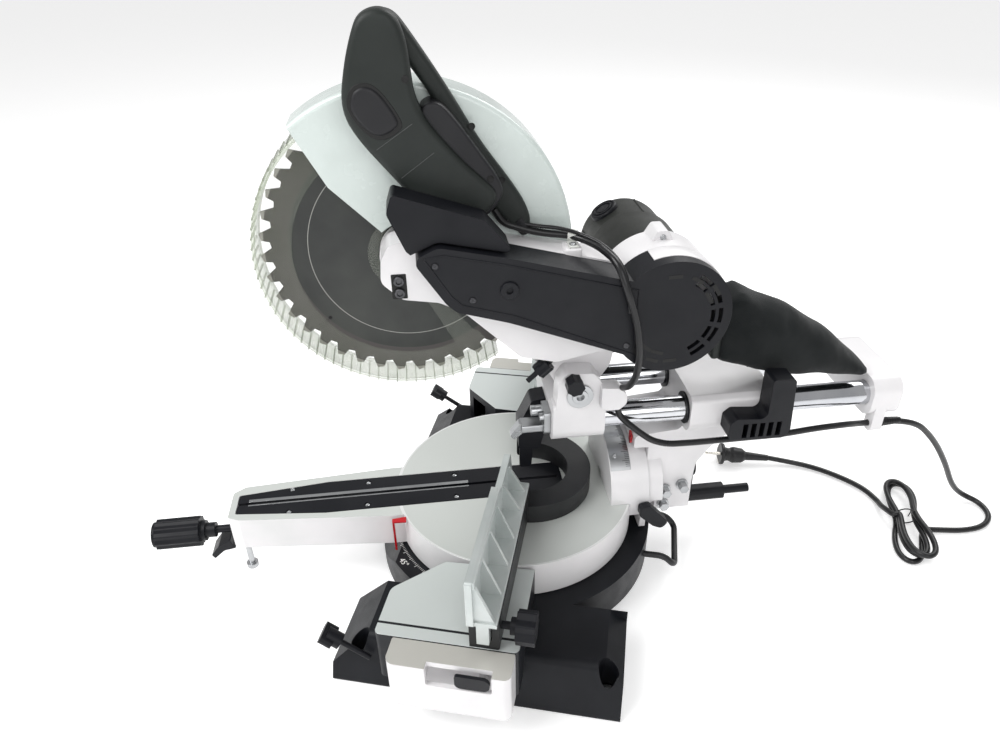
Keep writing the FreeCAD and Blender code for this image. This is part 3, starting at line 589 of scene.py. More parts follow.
MOTOR = Finish("charcoal_plastic", "charcoal_plastic", (0.017, 0.0185, 0.016), (0.023, 0.025, 0.022), 0.5,
               grain=Grain.MOULDED, relief=0.3, edge=0.0012, shine=0.25)
GRIP = Finish("grip_rubber", "grip_rubber", (0.013, 0.016, 0.0145), (0.019, 0.023, 0.021), 0.48,
              grain=Grain.SOFT, relief=0.45,
              edge=0.0012, shine=0.28)
SHELL = Finish("handle_shell", "grip_rubber", (0.009, 0.009, 0.011), (0.014, 0.014, 0.016), 0.42,
               grain=Grain.MOULDED, relief=0.35,
               edge=0.0012, shine=0.3)
CORD = Finish("cord_rubber", "cord_rubber", (0.007, 0.007, 0.008), (0.011, 0.011, 0.012), 0.3,
              grain=Grain.SMOOTH, relief=0.2,
              edge=0.0, shine=0.4)
PLUG = Finish("plug_rubber", "cord_rubber", (0.008, 0.008, 0.009), (0.013, 0.013, 0.014), 0.38,
              grain=Grain.MOULDED, relief=0.25,
              shine=0.4, zones=(Zone(plug_pins, (0.62, 0.60, 0.55), 0.25, 1.0),))
CLOTH = Finish("bag_cloth", "bag_cloth", (0.005, 0.0065, 0.007), (0.009, 0.011, 0.0115), 0.8,
               grain=Grain.WOVEN, relief=0.5,
               edge=0.0, shine=0.15)
BLADE = Finish("blade_steel", "blade_steel", (0.045, 0.048, 0.044), (0.030, 0.032, 0.031), 0.34, 0.3,
               Grain.GROUND, 0.14,
               edge=0.0, shine=0.4,
               zones=(Zone(blade_rim, (0.062, 0.056, 0.054), 0.38, 0.3),
                      Zone(blade_line, (0.30, 0.30, 0.28), 0.3, 0.6),
                      Zone(tooth_tips, (0.30, 0.29, 0.27), 0.28, 0.8)))
# The upper guard's white paint, greyed and greened: painted shade over the whole guard.
SHADED_GUARD = Finish("shaded_guard_paint", "white_paint", (0.60, 0.665, 0.64), (0.53, 0.59, 0.565), 0.26, coat=0.4)
MARK = Finish("printed_white", "white_paint", (0.82, 0.82, 0.80), (0.76, 0.76, 0.74), 0.5,
              grain=Grain.SMOOTH, relief=0.05,
              edge=0.0)
# Near black for printed marks, and for painted shade in slots, vents, holes, gaps and recesses.
INK_AND_SHADE = Finish("print_and_shade_black", "black_plastic", (0.007, 0.007, 0.007), (0.012, 0.012, 0.012), 0.5,
             grain=Grain.SMOOTH, relief=0.05,
             edge=0.0, shine=0.3)
# Light grey for the handle's seam lines: a painted highlight along their edges.
SEAM_HIGHLIGHT = Finish("seam_highlight_grey", "grip_rubber", (0.075, 0.078, 0.078), (0.055, 0.058, 0.058), 0.45,
              grain=Grain.SMOOTH, relief=0.05,
              edge=0.0)
CLIP = Finish("clip_nylon", "white_paint", (0.62, 0.63, 0.60), (0.54, 0.55, 0.52), 0.4, grain=Grain.SMOOTH,
              relief=0.1)

NODE_FINISHES: dict[Finish, tuple[str, ...]] = {
    BASE: ("base_casting",),
    WIRE: ("rear_support_wire",),
    FENCE: ("lower_fence",),
    FENCE_SILVER: ("sliding_fence_right", "sliding_fence_left"),
    PLASTIC: ("fence_knob_right", "fence_knob_left", "flip_stop_right", "flip_stop_left",
              "extension_knob_right",
              "extension_knob_left", "kerf_boards", "mitre_grip", "detent_lever", "bevel_stop_lever",
              "cord_hook",
              "bevel_lock_handle", "slide_lock_knob", "hold_down_pin", "belt_cover", "trigger",
              "lock_button", "dust_port",
              "depth_knob", "drive_belt", "dust_chute", "handle_bracket"),
    EXTENSION: ("extension_right", "extension_left"),
    TABLE: ("turntable",),
    RED: ("mitre_pointer", "bevel_pointer"),
    STEEL: ("pivot_bolt", "arm_foot", "bevel_stop_bolts", "hinge_shaft", "depth_stop"),
    DARK_STEEL: ("return_spring", "arbor", "gear_shaft", "motor_armature"),
    PAINT: ("bevel_trunnion", "bevel_arm", "rail_bracket", "rail_end_cap", "head_casting"),
    SHADED_GUARD: ("upper_guard",),
    CHROME: ("slide_rails",),
    CLEAR: ("lower_guard",),
    GRIP: ("handle_outer", "handle_inner"),
    MOTOR: ("motor_housing",),
    CORD: ("head_cable", "frame_cable"),
    PLUG: ("power_plug",),
    BLADE: ("blade",),
}


def dress_nodes() -> None:
    """Give every carried-over node its finish."""
    for finish, names in NODE_FINISHES.items():
        material = finish.make()
        for name in names:
            node = bpy.data.objects[name]
            if not node.material_slots:
                node.data.materials.append(material)
            for slot in node.material_slots:
                slot.material = material
            LOG.info("finish %-18s on %s", finish.name, name)


# ---- Mesh helpers -----------------------------------------------------------------------------


def placed(centre: Point, direction: Point) -> Matrix:
    """Matrix that moves to a centre and turns +Z towards a direction.

    Args:
        centre: where it moves to.
        direction: where +Z turns to.

    Returns:
        The matrix.
    """
    return Matrix.Translation(centre) @ Vector(direction).to_track_quat("Z", "Y").to_matrix().to_4x4()


def add_block(bm: bmesh.types.BMesh, low: Point, high: Point, round_by: float = 0.0) -> None:
    """Add a box between two corners, with rounded edges.

    Args:
        bm: the mesh to add to.
        low: lowest corner in millimetres.
        high: highest corner.
        round_by: radius of the edges.
    """
    size = [abs(b - a) for a, b in zip(low, high)]
    middle = [(a + b) / 2 for a, b in zip(low, high)]
    made = bmesh.ops.create_cube(bm, size=1.0,
                                 matrix=Matrix.Translation(middle) @ Matrix.Diagonal((*size, 1.0)))
    if round_by > 0:
        edges = list({edge for vert in made["verts"] for edge in vert.link_edges})
        bmesh.ops.bevel(bm, geom=edges, offset=round_by, segments=3, profile=0.5, affect="EDGES",
                        material=-1)


def add_bar(bm: bmesh.types.BMesh, turn: Matrix, centre: Point, size: Point) -> None:
    """Add a bar on turned axes.

    Args:
        bm: the mesh to add to.
        turn: the axes.
        centre: its middle on them.
        size: its lengths along them.
    """
    bmesh.ops.create_cube(bm, size=1.0,
                          matrix=turn @ Matrix.Translation(centre) @ Matrix.Diagonal((*size, 1.0)))


def add_rod(bm: bmesh.types.BMesh, place: Matrix, radius: float, length: float, sides: int = 32,
            top: Optional[float] = None,
            round_by: float = 0.0) -> None:
    """Add a cylinder or cone that stands on a placement's XY plane.

    Args:
        bm: the mesh to add to.
        place: foot of the rod, +Z along it.
        radius: radius at the foot.
        length: height.
        sides: number of sides.
        top: radius at the top, or the same.
        round_by: radius of the end edges.
    """
    made = bmesh.ops.create_cone(bm, cap_ends=True, segments=sides, radius1=radius,
                                 radius2=radius if top is None else top,
                                 depth=length, matrix=place @ Matrix.Translation((0, 0, length / 2)))
    if round_by > 0:
        faces = {face for vert in made["verts"] for face in vert.link_faces if len(face.verts) == sides}
        edges = list({edge for face in faces for edge in face.edges})
        bmesh.ops.bevel(bm, geom=edges, offset=round_by, segments=2, profile=0.5, affect="EDGES",
                        material=-1)


def add_turned(bm: bmesh.types.BMesh, place: Matrix, profile: Sequence[tuple[float, float]],
               sides: int = 48) -> None:
    """Add a turned piece by a full spin about a placement's Z.

    Args:
        bm: the mesh to add to.
        place: the axis.
        profile: (radius, height) points.
        sides: steps round.
    """
    verts = [bm.verts.new(place @ Vector((radius, 0.0, height))) for radius, height in profile]
    edges = [bm.edges.new(pair) for pair in zip(verts, verts[1:])]
    bmesh.ops.spin(bm, geom=verts + edges, cent=place.translation, axis=place.to_3x3() @ Vector((0, 0, 1)),
                   angle=math.tau, steps=sides, use_merge=True)


def add_plate(bm: bmesh.types.BMesh, outline: Sequence[Point], depth: Point) -> None:
    """Add a plate: one face swept along a vector.

    Args:
        bm: the mesh to add to.
        outline: corners of the face, all in one plane.
        depth: the sweep.
    """
    face = bm.faces.new([bm.verts.new(point) for point in outline])
    swept = bmesh.ops.extrude_face_region(bm, geom=[face], use_keep_orig=True)
    moved = [item for item in swept["geom"] if isinstance(item, bmesh.types.BMVert)]
    bmesh.ops.translate(bm, verts=moved, vec=depth)


def add_tube(bm: bmesh.types.BMesh, path: Sequence[Point], radius: float, sides: int = 16) -> None:
    """Add a tube along points, by sweeping a circle from one to the next and bridging.

    Args:
        bm: the mesh to add to.
        path: centreline.
        radius: tube radius.
        sides: sides of the tube.
    """
    points = [Vector(point) for point in path]
    previous: list[bmesh.types.BMEdge] = []
    for index, point in enumerate(points):
        ahead = points[min(index + 1, len(points) - 1)] - points[max(index - 1, 0)]
        made = bmesh.ops.create_circle(bm, cap_ends=index in (0, len(points) - 1), segments=sides,
                                       radius=radius,
                                       matrix=placed(point, ahead))
        ring = list({edge for vert in made["verts"] for edge in vert.link_edges})
        if previous:
            bmesh.ops.bridge_loops(bm, edges=previous + ring)
        previous = ring


def arc_points(centre: Point, radius: float, start: float, end: float, count: int, first: Vector,
               second: Vector) -> list[Vector]:
    """Points on an arc in the plane of two unit vectors, angles in degrees.

    Args:
        centre: middle of the arc.
        radius: its radius.
        start: first angle.
        end: last angle.
        count: number of points.
        first: unit vector at angle 0.
        second: unit vector at angle 90.

    Returns:
        The points.
    """
    turns = (math.radians(start + (end - start) * step / (count - 1)) for step in range(count))
    return [Vector(centre) + radius * (first * math.cos(turn) + second * math.sin(turn)) for turn in turns]


def settle(bm: bmesh.types.BMesh, name: str, finish: Finish, body: str, side: Side,
           sharp: float = 35.0) -> bpy.types.Object:
    """Turn a bmesh in millimetres into a piece in metres that rides on a body.

    Args:
        bm: the mesh, which is freed.
        name: the piece's name.
        finish: its finish.
        body: the CAD body it moves with.
        side: the axes it was drawn on.
        sharp: edges above this angle stay sharp.

    Returns:
        The object.
    """
    bmesh.ops.remove_doubles(bm, verts=bm.verts, dist=0.002)
    bm.transform(axes(side))
    bmesh.ops.recalc_face_normals(bm, faces=bm.faces)
    mesh = bpy.data.meshes.new(name)
    bm.to_mesh(mesh)
    bm.free()
    mesh.polygons.foreach_set("use_smooth", [True] * len(mesh.polygons))
    mesh.set_sharp_from_angle(angle=math.radians(sharp))
    piece = bpy.data.objects.new(name, mesh)
    bpy.context.scene.collection.objects.link(piece)
    mesh.materials.append(finish.make())
    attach(piece, body)
    LOG.info("piece %-26s rides on %-16s %6d faces", name, body, len(mesh.polygons))
    return piece


# ---- Small hardware ---------------------------------------------------------------------------


@dataclass
class Screw:
    """One screw head, sunk or proud, with its drive cut in."""

    centre: Point
    direction: Point
    radius: float
    height: float = 2.0
    drive: Drive = Drive.CROSS

    def add(self, bm: bmesh.types.BMesh) -> None:
        """Add the head to a mesh.

        Args:
            bm: the mesh to add to.
        """
        place = placed(self.centre, self.direction)
        radius, height = self.radius, self.height
        if self.drive is Drive.HEX_HEAD:
            add_turned(bm, place,
                       [(0, 0), (radius * 1.35, 0), (radius * 1.35, 0.8), (radius * 1.2, 1.1), (0, 1.1)])
            add_rod(bm, place @ Matrix.Translation((0, 0, 1.1)), radius, height - 1.1, 6, round_by=0.35)
            return
        if self.drive is Drive.HEX_SOCKET:
            depth = height * 0.55
            add_turned(bm, place,
                       [(0, 0), (radius, 0), (radius, height - 0.5), (radius - 0.5, height),
                        (radius * 0.58, height),
                        (radius * 0.5, height - depth), (0, height - depth)], 36)
            return
        add_turned(bm, place, [(0, 0), (radius, 0), (radius, height * 0.35), (radius * 0.86, height * 0.75),
                               (radius * 0.5, height * 0.97), (radius * 0.42, height * 0.97),
                               (0, height * 0.35)], 32)
        for quarter in range(4):
            turn = place @ Matrix.Rotation(math.radians(45 + 90 * quarter), 4, "Z")
            add_bar(bm, turn, (radius * 0.27, 0, height * 0.55), (radius * 0.34, radius * 0.3, height * 0.5))


def screws(name: str, group: Sequence[Screw], body: str, side: Side,
           finish: Finish = STEEL) -> bpy.types.Object:
    """Build a group of screw heads as one piece.

    Args:
        name: the piece's name.
        group: the screws.
        body: the CAD body they move with.
        side: the axes they are drawn on.
        finish: their finish.

    Returns:
        The object.
    """
    bm = bmesh.new()
    for screw in group:
        screw.add(bm)
    return settle(bm, name, finish, body, side)


def number(name: str, text: str, height: float, place: Matrix, finish: Finish,
           body: str) -> bpy.types.Object:
    """Make one printed number, slightly raised.

    Args:
        name: the piece's name.
        text: its digits.
        height: digit height in millimetres.
        place: matrix in metres of its middle, reading along +X and facing +Z.
        finish: its finish.
        body: the CAD body it moves with.

    Returns:
        The object.
    """
    curve = bpy.data.curves.new(name + "_line", "FONT")
    curve.body = text
    curve.size = height * MM * 1.35
    curve.extrude = 0.0001
    curve.resolution_u = 3
    curve.align_x = "CENTER"
    curve.align_y = "CENTER"
    holder = bpy.data.objects.new(name + "_line", curve)
    mesh = bpy.data.meshes.new_from_object(holder)
    mesh.name = name
    mesh.transform(place)
    bpy.data.objects.remove(holder)
    mesh.materials.clear()
    mesh.materials.append(finish.make())
    piece = bpy.data.objects.new(name, mesh)
    bpy.context.scene.collection.objects.link(piece)
    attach(piece, body)
    return piece


# ---- Scales -----------------------------------------------------------------------------------


@dataclass
class MitreScale:
    """Degree marks and numbers round the front of the base ring."""

    inner: float = 156.0
    outer: float = 161.5
    top: float = 60.0
    reach: int = 60
    numbers: tuple[float, ...] = (0, 15, 22.5, 30, 45)

    def build(self) -> None:
        """Build the marks and the numbers on both sides of zero."""
        bm = bmesh.new()
        for degree in range(-self.reach, self.reach + 1):
            length = 5.5 if degree % 10 == 0 else 4.2 if degree % 5 == 0 else 2.8
            width = 0.55 if degree % 5 == 0 else 0.4
            turn = Matrix.Rotation(math.radians(degree), 4, "Z")
            add_bar(bm, turn, (0, -(self.inner + length / 2), self.top + 0.1), (width, length, 0.3))
        settle(bm, "mitre_scale_marks", MARK, "base", Side.BASE)
        for value in self.numbers:
            for way in ((1, -1) if value else (1,)):
                turn = Matrix.Rotation(math.radians(way * value), 4, "Z")
                place = turn @ Matrix.Translation((0, -(self.outer + 6.5) * MM, (self.top + 0.1) * MM))
                label = f"{value:g}"
                text = label + "\u00b0"
                side = "right" if way > 0 else "left"
                name = "mitre_scale_number_" + label.replace(".", "_") + "_" + side
                number(name, text, 7.6 if value == int(value) else 6.4, place, MARK, "base")


@dataclass
class BevelScale:
    """Bright scale plate bent over the top of the trunnion, with its degree marks."""

    radius: float = 66.0
    pivot: float = 108.9
    front: float = 113.0
    rear: float = 138.0
    spread: float = 50.0

    def build(self) -> None:
        """Build the plate, its marks and its two screws."""
        centre = (0.0, 0.0, self.pivot)
        across, up = Vector((1, 0, 0)), Vector((0, 0, 1))
        bm = bmesh.new()
        lower = arc_points(centre, self.radius, 90 - self.spread, 90 + self.spread, 41, across, up)
        upper = arc_points(centre, self.radius + 0.7, 90 + self.spread, 90 - self.spread, 41, across, up)
        outline = [(point.x, self.front, point.z) for point in lower + upper]
        add_plate(bm, outline, (0, self.rear - self.front, 0))
        settle(bm, "bevel_scale_plate", STEEL, "table", Side.TABLE)
        marks = bmesh.new()
        for degree in range(-46, 47, 2):
            length = 9.0 if degree % 10 == 0 else 5.5
            place = Matrix.Translation(centre) @ Matrix.Rotation(math.radians(degree), 4, "Y")
            add_bar(marks, place, (0, self.rear - length / 2 - 0.5, self.radius + 0.75), (0.5, length, 0.3))
        settle(marks, "bevel_scale_marks", INK_AND_SHADE, "table", Side.TABLE)
        group = []
        for degree in (-34, 34):
            turn = math.radians(degree)
            outward = (math.sin(turn), 0.0, math.cos(turn))
            spot = (outward[0] * (self.radius + 0.4), self.front + 7,
                    self.pivot + outward[2] * (self.radius + 0.4))
            group.append(Screw(spot, outward, 3.2, 1.8))
        screws("bevel_scale_screws", group, "table", Side.TABLE)


# ---- Base, fence and table --------------------------------------------------------------------


@dataclass
class BaseTrim:
    """Washers in the bolt holes of the feet."""

    foot: tuple[float, float] = (226.0, 139.0)

    def build(self) -> None:
        """Build the four washers."""
        bm = bmesh.new()
        for x in (-self.foot[0], self.foot[0]):
            for y in (-self.foot[1], self.foot[1]):
                add_turned(bm, Matrix.Translation((x, y, 14.0)),
                           [(5.4, 0), (10.0, 0), (10.0, 1.2), (9.6, 1.5), (5.4, 1.5), (5.4, 0)])
        settle(bm, "foot_washers", STEEL, "base", Side.BASE)


@dataclass
class TableTrim:
    """Screws of the kerf boards and the bright strips beside the slot."""

    board_rows: tuple[float, ...] = (-286.0, -189.0, -77.0)
    board_middle: float = 21.0
    seat: float = 105.6

    def build(self) -> None:
        """Build the six countersunk screws and the two strips."""
        group = [Screw((x, y, self.seat), (0, 0, 1), 3.5, 3.0)
                 for x in (-self.board_middle, self.board_middle) for y in self.board_rows]
        strips = bmesh.new()
        add_block(strips, (-7.5, -338.0, 108.9), (-2.4, -60.0, 109.12))
        add_block(strips, (2.4, -338.0, 108.9), (4.4, -60.0, 109.12))
        settle(strips, "kerf_channel_strips", STEEL, "table", Side.TABLE)
        screws("kerf_board_screws", group, "table", Side.TABLE, STEEL)


# ---- Head -------------------------------------------------------------------------------------


@dataclass
class BladeDetail:
    """Expansion slots in the blade."""

    centre: tuple[float, float] = ARBOR_AXIS
    thick: float = 2.75
    slots: int = 4

    def build(self) -> None:
        """Build the slots as thin dark sheets that end in round holes: painted shade in the openings."""
        bm = bmesh.new()
        y, z = self.centre
        for index in range(self.slots):
            turn = Matrix.Translation((0, y,
                                       z)) @ Matrix.Rotation(math.radians(360 / self.slots * index + 40), 4,
                                                             "X")
            add_bar(bm, turn, (0, 0, 131.0), (self.thick, 0.9, 21.0))
            add_rod(bm, turn @ placed((-self.thick / 2, 0, 119.5), (1, 0, 0)), 2.1, self.thick, 24)
        settle(bm, "blade_expansion_slots", INK_AND_SHADE, "blade_set", Side.TABLE)


@dataclass
class GuardRibs:
    """Moulded ribs across the rim of the clear lower guard."""

    centre: tuple[float, float] = ARBOR_AXIS
    radius: float = 158.0
    half: float = 19.6

    def build(self) -> None:
        """Build the cross ribs over the arc that shows at rest."""
        y, z = self.centre
        bm = bmesh.new()
        for index in range(46):
            turn = Matrix.Translation((0, y, z)) @ Matrix.Rotation(math.radians(38 + index * 3.9), 4, "X")
            add_bar(bm, turn, (0, 0, self.radius - 0.6), (2 * self.half - 1.5, 1.1, 2.0))
        settle(bm, "guard_rim_ribs", CLEAR_RIB, "guard", Side.TABLE)


@dataclass
class MotorDetail:
    """Motor housing with its domed far end, ridges, brush caps, cast band and ear."""

    centre: tuple[float, float] = MOTOR_AXIS
    radius: float = 54.0
    near_end: float = 17.8
    far_end: float = -130.0

    def body(self) -> None:
        """Build the housing, which stands for the plain one, and its long ridges."""
        y, z = self.centre
        place = Matrix.Translation((self.far_end, y, z)) @ Matrix.Rotation(math.radians(90), 4, "Y")
        long = self.near_end - self.far_end
        bm = bmesh.new()
        add_turned(bm, place,
                   [(0, 0), (33, 0), (40, 1.5), (46, 6), (49.5, 13), (50.5, 20), (51.0, 62), (52.5, 66),
                    (self.radius, 70),
                    (self.radius, long), (0, long)], 96)
        housing = settle(bm, "motor_shell", MOTOR, "head", Side.TABLE, 50.0)
        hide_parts("motor_housing")
        ridges = bmesh.new()
        for angle in (75.0, 165.0, 255.0, 345.0):
            turn = math.radians(angle)
            way = Vector((0, math.cos(turn), math.sin(turn)))
            spot = Vector((0, y, z)) + way * 50.6
            add_tube(ridges, [spot + Vector((x, 0, 0)) for x in (-110.0, -90.0, -70.0)], 1.4, 10)
        settle(ridges, "motor_shell_ridges", MOTOR, "head", Side.TABLE)

    def caps(self) -> None:
        """Build the two brush caps, with their rings and screwdriver slots."""
        y, z = self.centre
        bm = bmesh.new()
        for angle in (122.0, 302.0):
            turn = math.radians(angle)
            outward = Vector((0, math.cos(turn), math.sin(turn)))
            spot = Vector((-96.0, y, z)) + outward * (self.radius - 6.0)
            profile = [(0, 0), (17.0, 0), (16.6, 5.2), (15.6, 6.2), (14.0, 6.2), (13.6, 4.8), (12.0, 4.8),
                       (11.6, 6.8), (10.2, 6.8),
                       (9.8, 5.0), (7.6, 5.0), (7.2, 6.4), (0, 6.4)]
            add_turned(bm, placed(spot, outward), profile, 48)
            add_bar(bm, placed(spot + outward * 6.4, outward), (0, 0, 0), (10.0, 1.8, 0.8))
        settle(bm, "motor_brush_caps", PLASTIC, "head", Side.TABLE)

    def band(self) -> None:
        """Build the cast band over the belt cover's edge, and the ear with its screw."""
        y, z = self.centre
        place = Matrix.Translation((61.4, y, z)) @ Matrix.Rotation(math.radians(90), 4, "Y")
        bm = bmesh.new()
        add_turned(bm, place,
                   [(60.5, 0), (62.7, 0), (63.0, 0.6), (63.0, 23.4), (62.7, 24.0), (60.5, 24.0), (60.5, 0)],
                   96)
        bmesh.ops.bisect_plane(bm, geom=bm.verts[:] + bm.edges[:] + bm.faces[:],
                               plane_co=Vector((0.0, y, z)),
                               plane_no=Vector((0, -1, -0.35)), clear_outer=True)
        bmesh.ops.holes_fill(bm, edges=[edge for edge in bm.edges if edge.is_boundary])
        settle(bm, "motor_cast_band", PAINT, "head", Side.TABLE)
        ear = bmesh.new()
        add_plate(ear,
                  [(16.0, 137.0, 446.0), (16.0, 163.0, 446.0), (16.0, 156.0, 459.0), (16.0, 145.0, 459.0)],
                  (28.0, 0, 0))
        edges = [edge for edge in ear.edges if abs(edge.verts[0].co.x - edge.verts[1].co.x) > 1]
        bmesh.ops.bevel(ear, geom=edges, offset=2.0, segments=3, profile=0.5, affect="EDGES", material=-1)
        settle(ear, "motor_band_ear", PAINT, "head", Side.TABLE)
        screws("motor_band_screw", [Screw((44.0, 150.5, 452.5), (1, 0, 0), 3.2, 1.6, Drive.HEX_SOCKET)],
               "head", Side.TABLE)

    def build(self) -> None:
        """Build everything on the motor."""
        self.body()
        self.caps()
        self.band()


@dataclass
class CoverDetail:
    """Raised border, round boss, vents and screws on the belt cover."""

    face: float = 100.0
    boss: tuple[float, float] = (-16.0, 432.0)

    def build(self) -> None:
        """Build the cover's outer details."""
        outline = [(-96, 469.5), (-78, 472.0), (-20, 459.0), (112, 422.5), (112, 349.0), (-12, 404.0),
                   (-62, 419.0), (-72, 429.0)]
        bm = bmesh.new()
        add_tube(bm, [(self.face - 0.2, y, z) for y, z in [*outline, outline[0]]], 1.0, 12)
        settle(bm, "belt_cover_border", PLASTIC, "head", Side.TABLE)
        boss = bmesh.new()
        place = placed((self.face - 0.5, *self.boss), (1, 0, 0))
        add_turned(boss, place,
                   [(3.2, 0), (9.5, 0), (9.0, 2.4), (8.2, 3.0), (3.8, 3.0), (3.2, 2.4), (3.2, 0)])
        settle(boss, "belt_cover_boss", PLASTIC, "head", Side.TABLE)
        # Vents as thin dark sheets: painted shade in the openings.
        vents = bmesh.new()
        for radius, angle in ((41, 232), (51, 228), (41, 252), (51, 250), (41, 30), (51, 34), (46, 62),
                              (46, 92), (50, 272)):
            turn = Matrix.Translation((self.face, *MOTOR_AXIS)) @ Matrix.Rotation(math.radians(angle), 4,
                                                                                  "X")
            add_bar(vents, turn, (0.05, radius, 0), (0.3, 4.0, 14.0))
        settle(vents, "belt_cover_vents", INK_AND_SHADE, "head", Side.TABLE)
        spots = ((-86, 462), (100, 424), (104, 360), (-52, 424))
        screws("belt_cover_screws", [Screw((self.face - 0.4, y, z), (1, 0, 0), 3.3, 2.0) for y, z in spots],
               "head", Side.TABLE,
               DARK_STEEL)


@dataclass
class ArborHousing:
    """Recess on the arbor housing, drawn as a dark block of painted shade, with two bolts."""

    face: float = 61.2
    middle: tuple[float, float] = (-122.0, 425.0)

    def build(self) -> None:
        """Build the dark block of painted shade in the recess, and its bolts on the outermost face there."""
        y, z = self.middle
        recess_shade = bmesh.new()
        add_block(recess_shade, (self.face - 3.0, y - 8.0, z - 14.0), (self.face + 0.4, y + 8.0, z + 14.0), 1.6)
        settle(recess_shade, "arbor_recess_shade", INK_AND_SHADE, "head", Side.TABLE)
        bolts = [Screw((self.face + 0.4, y, z + step), (1, 0, 0), 5.2, 3.0, Drive.HEX_SOCKET)
                 for step in (-6.5, 6.5)]
        screws("arbor_bolts", bolts, "head", Side.TABLE, DARK_STEEL)


@dataclass
class CableClip:
    """Nylon P-clip that holds the cables to the head casting, and its screw."""

    place: Point = (40.0, 56.5, 459.6)

    def build(self) -> None:
        """Build the strap round both cables, its white lug on the casting and its screw."""
        x, y, z = self.place
        bm = bmesh.new()
        add_turned(bm, placed((x, y, z), (0.35, 0.93, -0.07)),
                   [(4.2, -4.5), (5.8, -4.5), (6.1, -4.0), (6.1, 4.0), (5.8, 4.5), (4.2, 4.5),
                    (4.2, -4.5)], 40)
        add_block(bm, (x + 3, y - 7, z - 6.2), (x + 20, y + 3, z - 4.2), 0.8)
        settle(bm, "cable_clip", CLIP, "head", Side.TABLE)
        lug = bmesh.new()
        add_block(lug, (x + 1, y - 12, z - 19), (x + 22, y + 6, z - 6.2), 2.0)
        settle(lug, "cable_clip_lug", PAINT, "head", Side.TABLE)
        screws("cable_clip_screw", [Screw((x + 14, y - 2.5, z - 4.3), (0, 0, 1), 3.6, 2.2)], "head",
               Side.TABLE)


